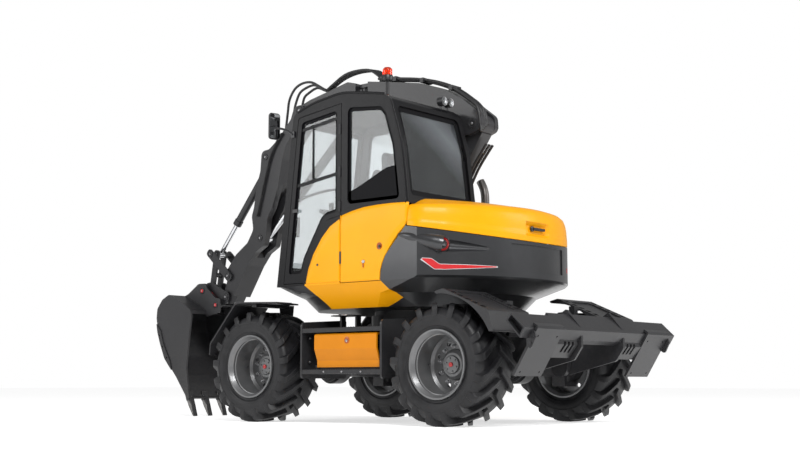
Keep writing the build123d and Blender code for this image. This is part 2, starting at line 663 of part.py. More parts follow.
def deck():
    """Turning deck with the boom slot, the boom foot cheeks and the lift cylinder cheeks."""
    weight = side_plate(WEIGHT_EDGE, -1200, 1200)
    shape = body_block() - weight
    for panel in skirts():
        shape -= panel
    shape &= block(-1500, 860, -1200, 1200, 900, FLOOR_Z) + block(0, 1010, -365, 90, 900, FLOOR_Z)
    shape += upright(0, 0, RING_R - 30, DECK_Z - 40, DECK_Z + 5)
    shape -= block(690, 1020, ARM_Y - CHEEK_IN, ARM_Y + CHEEK_IN, 1096, 1300)
    shape -= block(150, 390, ARM_Y - LOWER_HALF - 4, ARM_Y + LOWER_HALF + 4, 1225, 1300)
    foot_x, foot_z = FOOT
    lift_x, lift_z = LIFT_BASE
    shape += arm_boss(FOOT, FOOT_PIN_R, LOWER_HALF + 20) + arm_boss(LIFT_BASE, BASE_PIN_R, CHEEK_IN + 12)
    cheek = [(60, 1255), (foot_x - 90, foot_z + 60, 60), (foot_x, foot_z + 120, 70), (foot_x + 90, foot_z + 60, 60),
             (520, 1255)]
    for side in (-1, 1):
        near, far = ARM_Y + side * (LOWER_HALF + 4), ARM_Y + side * (LOWER_HALF + 32)
        shape += side_plate(cheek, *sorted((near, far)))
        near, far = ARM_Y + side * CHEEK_IN, ARM_Y + side * (CHEEK_IN + 27)
        low, high = sorted((near, far))
        shape += side_plate([(690, 1240), (lift_x - 60, lift_z + 96, 50), (lift_x + 65, lift_z + 86, 60),
                             (lift_x + 70, 1100), (690, 1100)], low, high)
    return shape


def side_panels():
    """Fixed left front panel, and the covers on the right and behind the boom."""
    left = side_plate([(46, FLOOR_Z), (486, FLOOR_Z), (446, 1500, 200), (226, 1856, 120), (46, 1886)], 1100, BODY_SIDE)
    left += upright(*DOOR_PIN, HINGE_R, 1870, 1915)
    right = side_plate([(-600, FLOOR_Z), (855, FLOOR_Z), (840, 1560, 120), (80, 1600, 60), (-10, 1985, 80),
                        (-600, 1985)], -BODY_SIDE, -372)
    right += block(-744, -600, -BODY_SIDE, -372, 1955, 1985)
    right += block(-600, -340, -372, 94, FLOOR_Z, 1985)
    right += block(-744, -600, -372, 94, 1955, 1985)
    right += side_plate([(-724, 1740), (-600, 1600), (-600, 1955), (-744, 1955)], -BODY_SIDE, -1100)
    right -= side_plate([(-760, 1770), (-727, 1745), (-445, 1442), (-434, 1281), (-450, 1200), (-760, 1200)],
                        -1200, 100)
    for y in HOOD_HINGES:
        right += block(-748, -726, y - 15, y + 15, 1980, 2036)
        right += cross(*HOOD_PIN, HINGE_R, y - 22, y + 22)
    return Compound(children=[left, right])


def service_door():
    """Hinged panel on the left, from the front edge of the weight to the cab door."""
    rows = [(-432, 1276), (34, 1276), (34, 1886), (-670, 1938), (-742, 1944), (-742, 1773), (-444, 1448)]
    return side_plate(rows, 1100, BODY_SIDE) - upright(*PANEL_PIN, HINGE_R + SEAT_GAP, 1700, 1990)


def hood_solid(inset):
    """Hood outline, drawn in by inset on its outer faces."""
    crown = [(-1130 + inset, 1500), (-1130 + inset, 1945 - inset, 70), (-700, 2006 - inset), (0, 2032 - inset),
             (700, 2006 - inset), (1130 - inset, 1945 - inset, 70), (1130 - inset, 1500)]
    shape = end_plate(crown, -1500, -752)
    shape &= upright(0, 0, BODY_R - inset, 1400, 2300)
    slope = [(-1500, 1616 - 3 * inset), (-752, 1741 - 3 * inset), (-752, 2300), (-1260 + inset, 2300),
             (-1330 + inset, 1960 - inset, 120), (-1500, 1900 - inset)]
    return shape & side_plate(slope, -1200, 1200)


def hood():
    """Engine hood: a thin shell open below and in front."""
    shell = hood_solid(0) - hood_solid(14)
    latch = end_plate([(-110, 1712, 12), (215, 1712, 12), (240, 1800, 12), (-125, 1800, 12)], -1500, -1200)
    pocket = latch & upright(0, 0, BODY_R + 10, 1600, 1900)
    shell += (pocket & upright(0, 0, BODY_R, 1600, 1900)) - upright(0, 0, BODY_R - 60, 1600, 1900)
    inner = end_plate([(-102, 1720, 8), (207, 1720, 8), (231, 1792, 8), (-117, 1792, 8)], -1500, -1200)
    shell -= inner - upright(0, 0, BODY_R - 46, 1600, 1900)
    for y in HOOD_HINGES:
        for low, high in ((y - 24, y - 15.3), (y + 15.3, y + 24)):
            shell += block(-780, -731, low, high, 2016, 2040)
    return shell - cross(*HOOD_PIN, HINGE_R + SEAT_GAP, -400, 200)


def engine():
    """Engine as one plain block at its real place."""
    return block(-1080, -640, -520, 560, 1300, 1880)


# Cab

CAB_SIDE = [(860, FLOOR_Z), (660, 2900, 60), (560, 2965, 60), (20, 3040, 200), (-470, 2958, 60), (-560, 2905, 60),
            (-680, 2500, 200), (-748, 1945), (-430, 1945), (-430, FLOOR_Z)]
CAB_INNER = [(812, 1300), (618, 2880, 60), (540, 2915, 60), (20, 2985, 200), (-450, 2908, 60), (-522, 2870, 60),
             (-635, 2490, 200), (-700, 1990), (-385, 1990), (-385, 1300)]
DOOR_ROWS = [(46, 1896), (232, 1868, 120), (458, 1500, 200), (496, 1297), (766, 1297), (590, 2868, 40), (46, 2938)]
DOOR_PANE = [(96, 1935, 40), (262, 1905, 120), (498, 1520, 200), (540, 1385, 50), (706, 1385, 30), (546, 2822, 40),
             (96, 2882, 40)]
QUARTER_PANE = [(-36, 1990, 50), (-36, 2892, 50), (-440, 2850, 40), (-500, 2780, 60), (-596, 2490, 200),
                (-655, 1990, 40)]


FRONT_PANE = [(CAB_RIGHT + 55, 1420, 40), (CAB_LEFT - 55, 1420, 40), (CAB_LEFT - 55, 2850, 60),
              (CAB_RIGHT + 55, 2850, 60)]
REAR_PANE = [(CAB_RIGHT + 60, 2020, 40), (CAB_LEFT - 60, 2020, 40), (CAB_LEFT - 60, 2850, 60),
             (CAB_RIGHT + 60, 2850, 60)]


def cab_frame():
    """Hollow cab: posts, roof, floor and rear wall, with the door and window openings cut."""
    shape = side_plate(CAB_SIDE, CAB_RIGHT, CAB_LEFT)
    shape -= side_plate(CAB_INNER, CAB_RIGHT + CAB_WALL, CAB_LEFT - CAB_WALL)
    grown = [(40, 1896), (232, 1868, 120), (458, 1500, 200), (496, 1297), (496, 1200), (-760, 1200), (-760, 1951)]
    shape -= side_plate(grown, 1094, 1130)
    door = [(40, 1890), (226, 1862, 120), (452, 1494, 200), (490, 1291), (772, 1291), (596, 2874, 40), (40, 2944)]
    shape -= side_plate(door, CAB_LEFT - CAB_WALL - 5, CAB_LEFT + 5)
    shape -= side_plate(QUARTER_PANE, CAB_LEFT - CAB_WALL - 5, CAB_LEFT + 5)
    right_pane = [(700, 1420, 60), (540, 2830, 60), (-440, 2850, 60), (-596, 2490, 100), (-655, 2010, 60),
                  (-330, 2010, 60), (-330, 1420, 60)]
    shape -= side_plate(right_pane, CAB_RIGHT - 5, CAB_RIGHT + CAB_WALL + 5)
    shape -= end_plate(FRONT_PANE, 600, 900)
    shape -= end_plate(REAR_PANE, -800, -450)
    return shape + upright(*PANEL_PIN, HINGE_R, 1900, 1960) + upright(*DOOR_PIN, HINGE_R, 2915, 2955)


def cab_glass():
    """Fixed panes, set inside the openings."""
    quarter = side_plate(QUARTER_PANE, CAB_LEFT - 24, CAB_LEFT - 24 + GLASS_T)
    right_pane = [(700, 1420, 60), (540, 2830, 60), (-440, 2850, 60), (-596, 2490, 100), (-655, 2010, 60),
                  (-330, 2010, 60), (-330, 1420, 60)]
    right = side_plate(right_pane, CAB_RIGHT + 18, CAB_RIGHT + 18 + GLASS_T)
    front_slab = side_plate([(834, 1320), (640, 2900), (632, 2900), (826, 1320)], CAB_RIGHT, CAB_LEFT)
    rear_slab = side_plate([(-724, 1980), (-657, 2495), (-548, 2885), (-540, 2885), (-649, 2495), (-716, 1980)],
                           CAB_RIGHT, CAB_LEFT)
    front = front_slab & end_plate(FRONT_PANE, 600, 900)
    rear = rear_slab & end_plate(REAR_PANE, -800, -450)
    return Compound(children=[quarter, right, front, rear])


def cab_door():
    """Door frame, hinged on the middle post."""
    shape = side_plate(DOOR_ROWS, CAB_LEFT - 40, CAB_LEFT)
    shape -= side_plate(DOOR_PANE, CAB_LEFT - 45, CAB_LEFT + 5)
    return shape - upright(*DOOR_PIN, HINGE_R + SEAT_GAP, 1880, 2960)


def cab_door_glass():
    """Pane of the door."""
    return side_plate(DOOR_PANE, CAB_LEFT - 24, CAB_LEFT - 24 + GLASS_T)


def seat():
    """Driver's seat on its pedestal."""
    shape = block(-60, 260, 480, 760, 1300, 1560)
    shape += side_plate([(-110, 1560), (420, 1560), (440, 1660, 60), (380, 1700, 50), (-60, 1680), (-110, 1640)], 370, 870)
    shape += side_plate([(-110, 1640), (-20, 1700), (-110, 2330, 60), (-200, 2330, 60), (-190, 1640)], 390, 850)
    shape += side_plate([(-130, 2330), (-120, 2500, 50), (-205, 2510, 50), (-200, 2330)], 500, 740)
    return shape


def console():
    """Side consoles with their levers and the steering column."""
    shape = None
    for low, high in ((250, 350), (890, 990)):
        box = side_plate([(-150, 1300), (330, 1300), (380, 1760, 50), (300, 1850, 40), (-150, 1780)], low, high)
        shape = box if shape is None else shape + box
        middle = (low + high) / 2
        shape += rod((at(290), middle, 1800), (at(320), middle, 1980), 14)
        shape += rod((at(318), middle, 1965), (at(326), middle, 2050), 24)
    shape += block(270, 330, 350, 890, 1300, 1318)
    shape += rod((at(639), 620, 1310), (at(557), 620, 1984), 36)
    shape += block(300, 640, 600, 640, 1300, 1318)
    wheel = Plane((at(552), 620, 1985), z_dir=(-0.35, 0, 0.94)) * (Cylinder(174, 24) - Cylinder(148, 30))
    spokes = Plane((at(552), 620, 1985), z_dir=(-0.35, 0, 0.94)) * (Box(320, 26, 12) + Box(26, 320, 12))
    return shape + wheel + spokes


def exhaust():
    """Bent exhaust stack on the right cover."""
    shape = rod((at(-200), -800, 1985), (at(-200), -800, 2290), 42)
    shape += rod((at(-200), -800, 2285), (at(-150), -800, 2440), 42) + Pos(at(-200), -800, 2288) * Sphere(43)
    return shape - rod((at(-160), -800, 2410), (at(-145), -800, 2455), 36)


def beacon():
    """Beacon on its stalk, on the cab roof."""
    shape = upright(-330, 900, 14, 2960, 3175) - side_plate(CAB_SIDE, CAB_RIGHT, CAB_LEFT)
    shape += upright(-330, 900, 48, 3170, 3190)
    return shape + upright(-330, 900, 42, 3190, 3240) + taper((at(-330), 900, 3240), (at(-330), 900, 3262), 42, 30)


def mirror():
    """Mirror on its arm at the front left post."""
    arm = block(640, 670, CAB_LEFT, CAB_LEFT + 14, 2700, 2740)
    arm += rod((at(655), CAB_LEFT + 16, 2720), (at(800), 1200, 2780), 11)
    head = Pos(at(806), 1205, 2800) * Rot(0, 0, 40) * Box(28, 90, 250)
    return arm + head


def lamps():
    """Work lights on the rear of the roof and the lamps of the weight."""
    shapes = []
    for y in (240, 340):
        lamp = rod((at(-560), y, 3010), (at(-500), y, 3010), 44) + block(-522, -508, y - 8, y + 8, 2935.7, 3010)
        shapes.append(lamp)
    return Compound(children=shapes)


def lamp_pair():
    """Round tail lamp in the mouth of the weight's horn."""
    tip, mouth, end = lamp_axes()
    return rod(along_line(mouth, tip, -8), along_line(mouth, tip, 30), LAMP_R)


def upper_body():
    """Everything on the turning deck but the arm."""
    save(deck(), "turret_deck")
    save(counterweight(), "counterweight")
    save(side_panels(), "side_panels")
    save(Compound(children=skirts()), "lower_panels")
    save(service_door(), "service_door")
    save(hood(), "hood")
    save(engine(), "engine")
    save(cab_frame(), "cab_frame")
    save(cab_glass(), "cab_glass")
    save(cab_door(), "cab_door")
    save(cab_door_glass(), "cab_door_glass")
    save(seat(), "seat")
    save(console(), "console")
    save(exhaust(), "exhaust")
    save(beacon(), "beacon")
    save(mirror(), "mirror")
    save(lamps(), "work_lamps")
    save(lamp_pair(), "tail_lamp")


# Arm

def along(start, end, s, t):
    """Point s along and t to the front of the line from start to end."""
    way = radians(heading(start, end))
    return (start[0] + s * cos(way) + t * sin(way), start[1] + s * sin(way) - t * cos(way))


def arm_plate(rows, inner, outer):
    """Two like plates at both sides of the arm's plane."""
    return (side_plate(rows, ARM_Y + inner, ARM_Y + outer)
            + side_plate(rows, ARM_Y - outer, ARM_Y - inner))


def arm_boss(point, r, half):
    """Boss across the arm's plane."""
    return cross(point[0], point[1], r, ARM_Y - half, ARM_Y + half)


def lower_boom():
    """Upright boom from the deck to the knee."""
    spots = [(0, 92), (250, 96), (600, 90), (1400, 96), (1700, 105), (1700, -110), (1300, -92), (600, -84), (0, -92)]
    rows = [along(FOOT, KNEE, s, t) for s, t in spots]
    shape = side_plate(rows, ARM_Y - LOWER_HALF, ARM_Y + LOWER_HALF)
    shape += arm_boss(FOOT, 95, LOWER_HALF) + arm_boss(KNEE, 108, LOWER_HALF)
    lug = [along(FOOT, KNEE, s, t) for s, t in ((130, 60), (250, 262), (350, 262), (520, 60))]
    rows = [lug[0], (*lug[1], 50), (*lug[2], 50), lug[3]]
    shape += arm_plate(rows, 62, LOWER_HALF)
    for side in (-1, 1):
        eye = along(FOOT, KNEE, LIFT_REACH, 0)
        near = ARM_Y + side * (LOWER_HALF - 5)
        shape += cross(*eye, 48, *sorted((near, ARM_Y + side * (LIFT_Y - LIFT_EYE_W / 2 - SEAT_GAP))))
    shape += arm_boss(along(FOOT, KNEE, BOOM_CYL_REACH, BOOM_CYL_OFF), BASE_PIN_R, 70)
    shape -= arm_boss(FOOT, FOOT_PIN_R + SEAT_GAP, 200) + arm_boss(KNEE, KNEE_PIN_R + SEAT_GAP, 200)
    return shape


def upper_boom():
    """Boom from the knee to the swing fork."""
    rows = [
        (-745, 2790, 60), (-735, 2925, 80), (-520, 3092, 200), (-290, 3230, 300), (10, 3330, 300), (410, 3402, 200),
        (700, 3450), (700, 3200), (300, 3125, 200), (-100, 2960, 200), (-440, 2745, 80), (-600, 2735, 60),
    ]
    shape = side_plate(rows, ARM_Y - ARM_HALF, ARM_Y + ARM_HALF)
    slot = [(-850, 2500), (-330, 2500), (-410, 2760), (-510, 2915, 60), (-630, 2990, 60), (-850, 2990)]
    shape -= side_plate(slot, ARM_Y - LOWER_HALF - 4, ARM_Y + LOWER_HALF + 4)
    eye_x, eye_z = BOOM_CYL_EYE
    lug = [(-140, 3000), (eye_x - 60, eye_z - 30, 45), (eye_x + 50, eye_z - 55, 50), (260, 3130)]
    shape += arm_plate(lug, 62, 86)
    for z0, z1 in ((3200, 3238), (3412, 3450)):
        shape += block(640, OFFSET_X, ARM_Y - 85, ARM_Y + 85, z0, z1)
        shape += upright(OFFSET_X, ARM_Y, 85, z0, z1)
    return shape + arm_boss(KNEE, KNEE_PIN_R, ARM_HALF - 20) + upright(OFFSET_X, ARM_Y, OFFSET_PIN_R, 3210, 3440)


def offset_link():
    """Swinging end of the boom, from the upright pin to the elbow."""
    rows = [(910, 3232), (910, 3470), (1020, 3500, 80), (1330, 3432, 100), (1560, 3385, 60), (1700, 3340, 60),
            (1765, 3270, 40), (1690, 3200, 40), (1240, 3205, 60), (1085, 3050, 60), (1000, 3040, 50), (945, 3110, 50)]
    shape = side_plate(rows, ARM_Y - 95, ARM_Y + 95)
    base_x, base_z = DIPPER_BASE
    gap = [(base_x - 100, 2990), (1300, 2990), (1300, 3160), (1150, 3190, 40), (base_x - 75, 3180, 60)]
    shape -= side_plate(gap, ARM_Y - 60, ARM_Y + 60)
    shape += block(OFFSET_X, 915, ARM_Y - 55, ARM_Y + 55, 3242, 3408)
    shape += upright(OFFSET_X, ARM_Y, 66, 3240, 3410)
    shape += arm_boss(DIPPER_BASE, BASE_PIN_R, 70)
    shape -= upright(OFFSET_X, ARM_Y, OFFSET_PIN_R + SEAT_GAP, 3200, 3450)
    return shape - arm_boss(ELBOW, ELBOW_PIN_R + SEAT_GAP, 200)


def dipper():
    """Dipper arm: fork at the elbow, bent box, narrow tip."""
    base_x, base_z = BUCKET_BASE
    rows = [
        (1640, 3345, 50), (1770, 3330, 60), (1820, 3200, 60), (1950, 3070, 60), (2040, 2985, 60), (2150, 2910, 60),
        (2262, 2902, 60), (2280, 2680), (2340, 2500), (2372, 2290, 100), (2405, 2190, 60), (2378, 2040, 100),
        (2470, 1900, 60), (2650, 1780, 100), (2812, 1592, 90), (2915, 1330, 70), (2815, 1235, 70), (2720, 1250, 60),
        (2460, 1650, 100), (2340, 1790, 100), (2205, 1860, 60), (2175, 2000, 40), (2160, 2160, 100), (2090, 2260),
        (2000, 2500, 200), (1945, 2780, 200), (1890, 2930, 100), (1620, 3220, 60),
    ]
    shape = side_plate(rows, ARM_Y - 125, ARM_Y + 125)
    fork = [(1500, 3100), (1500, 3420), (1800, 3420), (1800, 3230), (1762, 3170, 60), (1690, 3100, 60)]
    shape -= side_plate(fork, ARM_Y - 99, ARM_Y + 99)
    slot = [(2120, 1640), (2384, 1640), (2384, 1960, 60), (2340, 2080, 60), (2230, 2280, 60), (2062, 2440, 60),
            (1985, 2545), (1930, 2545), (1930, 1640)]
    shape -= side_plate(slot, ARM_Y - 53, ARM_Y + 53) + cross(2352, 1930, 58, ARM_Y - 53, ARM_Y + 53)
    gap = [(base_x - 66, 2990), (base_x - 66, base_z - 30, 40), (base_x - 40, base_z - 60, 30), (2330, 2570),
           (2420, 2570), (2420, 2990)]
    shape -= side_plate(gap, ARM_Y - 52, ARM_Y + 52)
    tip = [(2640, 1200), (2690, 1380), (2785, 1400), (2787, 1620), (2840, 1720), (3000, 1720), (3000, 1200)]
    for side in (-1, 1):
        shape -= side_plate(tip, *sorted((ARM_Y + side * 66, ARM_Y + side * 130)))
    shape += arm_boss(ELBOW, ELBOW_PIN_R, 110) + arm_boss(BUCKET_BASE, BASE_PIN_R, 110)
    return shape - arm_boss(BUCKET_PIN, TIP_PIN_R + SEAT_GAP, 200) - arm_boss(ROCKER_PIN, ROCKER_PIN_R + SEAT_GAP, 200)


def rocker():
    """Pair of rocker plates with the pin that the link and the cylinder share."""
    rows = strap(ROCKER_PIN, LINK_PIN, 62, 56)
    plates = []
    for side in (-1, 1):
        plate = side_plate(rows, *sorted((ARM_Y + side * 135, ARM_Y + side * 155)))
        plate += cross(*LINK_PIN, 30, *sorted((ARM_Y + side * 39, ARM_Y + side * 155)))
        plate += cross(*ROCKER_PIN, ROCKER_PIN_R, *sorted((ARM_Y + side * 2, ARM_Y + side * 155)))
        plates.append(plate)
    return Compound(children=plates)


def strap(start, end, r0, r1):
    """Outline of a straight link with rounded ends."""
    spots = [along(start, end, -r0, 0.75 * r0), along(start, end, hypot(end[0] - start[0], end[1] - start[1]) + r1, 0.75 * r1),
             along(start, end, hypot(end[0] - start[0], end[1] - start[1]) + r1, -0.75 * r1),
             along(start, end, -r0, -0.75 * r0)]
    return [(*spots[0], 0.6 * r0), (*spots[1], 0.6 * r1), (*spots[2], 0.6 * r1), (*spots[3], 0.6 * r0)]


def bucket_link():
    """Pair of link plates from the shared pin to the coupler."""
    shape = arm_plate(strap(LINK_PIN, COUPLER_PIN, 52, 50), 42, 64)
    middle = along(LINK_PIN, COUPLER_PIN, 230, 0)
    shape += arm_boss(middle, 26, 50)
    shape -= arm_boss(LINK_PIN, 30 + SEAT_GAP, 200)
    return shape


COUPLER_GRIPS = [(3165, 1400), (2940, 1232)]


def coupler():
    """Quick coupler: ears for the two pins and the hooks that the bucket hangs on."""
    rows = [(2800, 1250, 60), (2775, 1370, 60), (2900, 1400, 40), (3060, 1500, 50), (3150, 1490, 40), (3230, 1400, 40),
            (3230, 1290, 40), (3000, 1215, 40)]
    shape = arm_plate(rows, 70, 96)
    base = [(2900, 1240, 20), (2905, 1225, 10), (3020, 1215, 10), (3235, 1290, 20), (3235, 1350, 20), (3180, 1345, 20),
            (3000, 1262, 20)]
    shape += side_plate(base, ARM_Y - 96, ARM_Y + 96)
    shape += arm_boss(BUCKET_PIN, TIP_PIN_R, 96)
    for grip in COUPLER_GRIPS:
        shape += arm_boss(grip, 26, 130) - arm_boss(grip, 30, 71)
    return shape


def bucket():
    """Digging bucket with side plates, lip, teeth and the ears for the coupler."""
    half = BUCKET_W / 2
    hull = [
        (3090, 1100), (3110, 1180, 30), (3250, 1260, 60), (3470, 1362, 60), (3590, 1305, 60), (3672, 1205, 60),
        (3682, 1100, 60), (3650, 940, 200), (3600, 810, 200), (3520, 640, 200), (3330, 440), (3130, 190), (3100, 200),
        (3160, 540), (3120, 900),
    ]
    hollow = [
        (3050, 1085), (3130, 1165, 30), (3262, 1236, 60), (3466, 1334, 60), (3572, 1286, 60), (3646, 1196, 60),
        (3656, 1102, 60), (3626, 948, 200), (3578, 822, 200), (3500, 656, 200), (3312, 456), (3120, 218), (3060, 180),
    ]
    shape = side_plate(hull, ARM_Y - half, ARM_Y + half)
    shape -= side_plate(hollow, ARM_Y - half + 22, ARM_Y + half - 22)
    for i in range(4):
        y = ARM_Y - 330 + 220 * i
        tooth = [(3128, 262), (3168, 246), (3118, 120), (3046, 3), (3034, 8), (3074, 130)]
        shape += side_plate(tooth, y - 28, y + 28)
    cutter = [(3668, 1030), (3650, 940, 200), (3600, 810, 200), (3520, 640, 200), (3400, 512), (3420, 600, 60),
              (3540, 800, 200), (3600, 960, 60)]
    for side in (-1, 1):
        plate = side_plate(cutter, *sorted((ARM_Y + side * half, ARM_Y + side * (half + 12))))
        for spot in ((3612, 900), (3555, 770), (3478, 650)):
            plate -= arm_boss(spot, 11, half + 60)
        shape += plate
    ear = [(2880, 1145, 30), (2866, 1300, 30), (2950, 1312, 60), (3092, 1432, 60), (3110, 1482, 40), (3232, 1482, 60),
           (3400, 1375, 60), (3470, 1350), (3110, 1170), (3095, 1110)]
    shape += arm_plate(ear, 130, 152)
    return shape


def arm():
    """Arm links, bucket gear and all cylinders."""
    save(lower_boom(), "lower_boom")
    save(upper_boom(), "upper_boom")
    save(offset_link(), "offset_link")
    save(dipper(), "dipper")
    save(rocker(), "bucket_rocker")
    save(bucket_link(), "bucket_link")
    save(coupler(), "coupler")
    save(bucket(), "bucket")
    eye = along(FOOT, KNEE, LIFT_REACH, 0)
    tubes = [barrel(LIFT_BASE, eye, LIFT_R, 690, ARM_Y + side * LIFT_Y, LIFT_EYE_W) for side in (-1, 1)]
    rods = [piston_rod(LIFT_BASE, eye, LIFT_R, 745, ARM_Y + side * LIFT_Y, LIFT_EYE_W) for side in (-1, 1)]
    save(Compound(children=tubes), "lift_barrels")
    save(Compound(children=rods), "lift_rods")
    base = along(FOOT, KNEE, BOOM_CYL_REACH, BOOM_CYL_OFF)
    cylinder("boom", base, BOOM_CYL_EYE, 55, 1040, 1060, ARM_Y, 112)
    cylinder("dipper", DIPPER_BASE, DIPPER_LUG, 50, 1240, 950, ARM_Y, 96)
    cylinder("bucket", BUCKET_BASE, LINK_PIN, 42, 900, 800, ARM_Y, 76)


if __name__ == "__main__":
    os.makedirs("parts", exist_ok=True)
    wheels()
    running_gear()
    chassis()
    stabiliser()
    upper_body()
    arm()
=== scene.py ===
"""Looks of a compact wheeled excavator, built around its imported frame.

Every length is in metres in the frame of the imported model: x runs forward, y to the left and z up
from the ground.  Places on the machine are written from the slewing axis, which stands at SLEW_X.
"""

import logging
import math
from dataclasses import dataclass
from enum import Enum

import bmesh
import bpy
import numpy as np
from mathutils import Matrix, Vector


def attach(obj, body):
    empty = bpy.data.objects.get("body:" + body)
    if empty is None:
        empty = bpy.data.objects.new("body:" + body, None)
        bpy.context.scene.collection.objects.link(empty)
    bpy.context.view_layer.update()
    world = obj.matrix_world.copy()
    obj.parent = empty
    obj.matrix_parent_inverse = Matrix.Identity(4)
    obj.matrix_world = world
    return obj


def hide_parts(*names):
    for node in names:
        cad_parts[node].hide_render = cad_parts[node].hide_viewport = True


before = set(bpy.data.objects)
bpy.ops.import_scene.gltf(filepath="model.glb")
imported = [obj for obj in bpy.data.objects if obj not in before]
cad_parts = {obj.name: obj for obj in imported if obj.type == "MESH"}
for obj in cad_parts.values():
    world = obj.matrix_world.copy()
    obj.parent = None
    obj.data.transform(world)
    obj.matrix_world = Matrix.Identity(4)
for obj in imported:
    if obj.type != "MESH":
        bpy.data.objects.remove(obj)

Array = np.ndarray
Place = tuple[float, float, float]
Colour = tuple[float, float, float]
Rows = list[tuple[float, ...]] | tuple[tuple[float, ...], ...]
Outline = Array | Rows
Socket = bpy.types.NodeSocket
LOG = logging.getLogger("excavator")

# Places that the whole machine is measured from
SLEW_X = -0.7985
AXLE_FRONT = SLEW_X + 1.13
AXLE_REAR = SLEW_X - 1.13
WHEEL_Y = 0.98
WHEEL_RADIUS = 0.525
ARM_Y = -0.14
SIDE_Y = 1.13
TAIL_RADIUS = 1.42
HOOD_FRONT = -0.752

# Directions
UP = (0.0, 0.0, 1.0)
LEFT = (0.0, 1.0, 0.0)
BACK = (-1.0, 0.0, 0.0)

# A turned piece ends in a flat of this radius rather than in a point, so that its skin is closed
LEAST_RADIUS = 0.0004


def at(x: float, y: float, z: float) -> Place:
    """A place in the frame, from its distance ahead of the slewing axis."""
    return (SLEW_X + x, y, z)


# Shapes worked out as arrays


class Shell:
    """Points and faces of a piece while it is put together."""

    def __init__(self) -> None:
        """An empty shell."""
        self.points: list[Array] = []
        self.faces: list[tuple[int, ...]] = []
        self.size = 0

    def add(self, points: Array, faces: list[tuple[int, ...]]) -> "Shell":
        """Adds points and the faces that join them.

        Args:
            points: Rows of x, y, z.
            faces: Tuples of row numbers in points.

        Returns:
            The shell itself.
        """
        self.points.append(np.asarray(points, float).reshape(-1, 3))
        self.faces += [tuple(int(i) + self.size for i in face) for face in faces]
        self.size += len(self.points[-1])
        return self

    def join(self, *others: "Shell") -> "Shell":
        """Takes in other shells.

        Args:
            *others: The shells to take in.

        Returns:
            The shell itself.
        """
        for other in others:
            self.add(np.concatenate(other.points), other.faces)
        return self


class Closing(Enum):
    """How the skin over a grid of points closes."""

    OPEN = "not at all"
    CAPPED = "round each row, with the first and last rows filled"
    RING = "round each row, and from the last row to the first"


def surface(points: Array, closing: Closing = Closing.CAPPED) -> Shell:
    """A skin over a grid of points: a four-cornered face between each four neighbours.

    Args:
        points: Grid of shape (rows, columns, 3).
        closing: How the skin closes.

    Returns:
        The skin as a shell.
    """
    index = np.arange(points.shape[0] * points.shape[1]).reshape(points.shape[:2])
    if closing is Closing.RING:
        index = np.concatenate([index, index[:1]], 0)
    if closing is not Closing.OPEN:
        index = np.concatenate([index, index[:, :1]], 1)
    corners = [index[:-1, :-1], index[1:, :-1], index[1:, 1:], index[:-1, 1:]]
    faces = np.stack(corners, -1).reshape(-1, 4).tolist()
    if closing is Closing.CAPPED:
        faces += [index[0, :-1].tolist(), index[-1, -2::-1].tolist()]
    return Shell().add(points, faces)


def unit(vectors: Array) -> Array:
    """Vectors divided by their lengths."""
    return vectors / np.linalg.norm(vectors, axis=-1, keepdims=True)


def ring(radius: float, count: int, turn: float = 0.0) -> Array:
    """Points on a circle: radius times cosine and sine of equal steps of angle."""
    angle = turn + np.arange(count) * 2 * math.pi / count
    return np.stack([radius * np.cos(angle), radius * np.sin(angle)], -1)


def swept(path: Array, profile: Array, up: Place = UP, scale: Outline = ((1.0,),)) -> Array:
    """A profile carried along a path.

    Each path point gets a side direction, tangent times up, and a rise direction, side times
    tangent; a profile row (a, b) lands at point + a side + b rise.

    Args:
        path: Rows of x, y, z.
        profile: Closed outline, rows of (side, rise).
        up: A direction that the path never runs along.
        scale: Growth of the profile, one row for the whole path or one for each point.

    Returns:
        Grid of points, a row for each point of the path.
    """
    tangent = unit(np.gradient(path, axis=0))
    side = unit(np.cross(tangent, up))
    rise = np.cross(side, tangent)
    across = profile[:, :1] * side[:, None] + profile[:, 1:] * rise[:, None]
    return path[:, None] + across * np.asarray(scale)[:, None]


def smooth_path(stops: Outline, samples: int = 8) -> Array:
    """A curve through every stop.

    Between two stops the curve is the cubic whose slope at each stop is half the step from the
    stop before it to the stop after it.

    Args:
        stops: Places the curve goes through.
        samples: Points on each span.

    Returns:
        Rows of x, y, z.
    """
    knots = np.asarray(stops, float)
    ends = np.concatenate([[2 * knots[0] - knots[1]], knots, [2 * knots[-1] - knots[-2]]])
    before, start, end, after = (ends[i : len(ends) - 3 + i, None] for i in range(4))
    t = np.linspace(0, 1, samples, endpoint=False)[None, :, None]
    slope_in, slope_out = (end - before) / 2, (after - start) / 2
    curve = (2 * t**3 - 3 * t**2 + 1) * start + (t**3 - 2 * t**2 + t) * slope_in
    curve = curve + (3 * t**2 - 2 * t**3) * end + (t**3 - t**2) * slope_out
    return np.concatenate([curve.reshape(-1, 3), knots[-1:]])


def tube(stops: Rows, radius: float, up: Place = UP, sides: int = 10, samples: int = 8) -> Shell:
    """A round tube on a smooth path: a circle carried along the curve through the stops."""
    return surface(swept(smooth_path(stops, samples), ring(radius, sides), up))


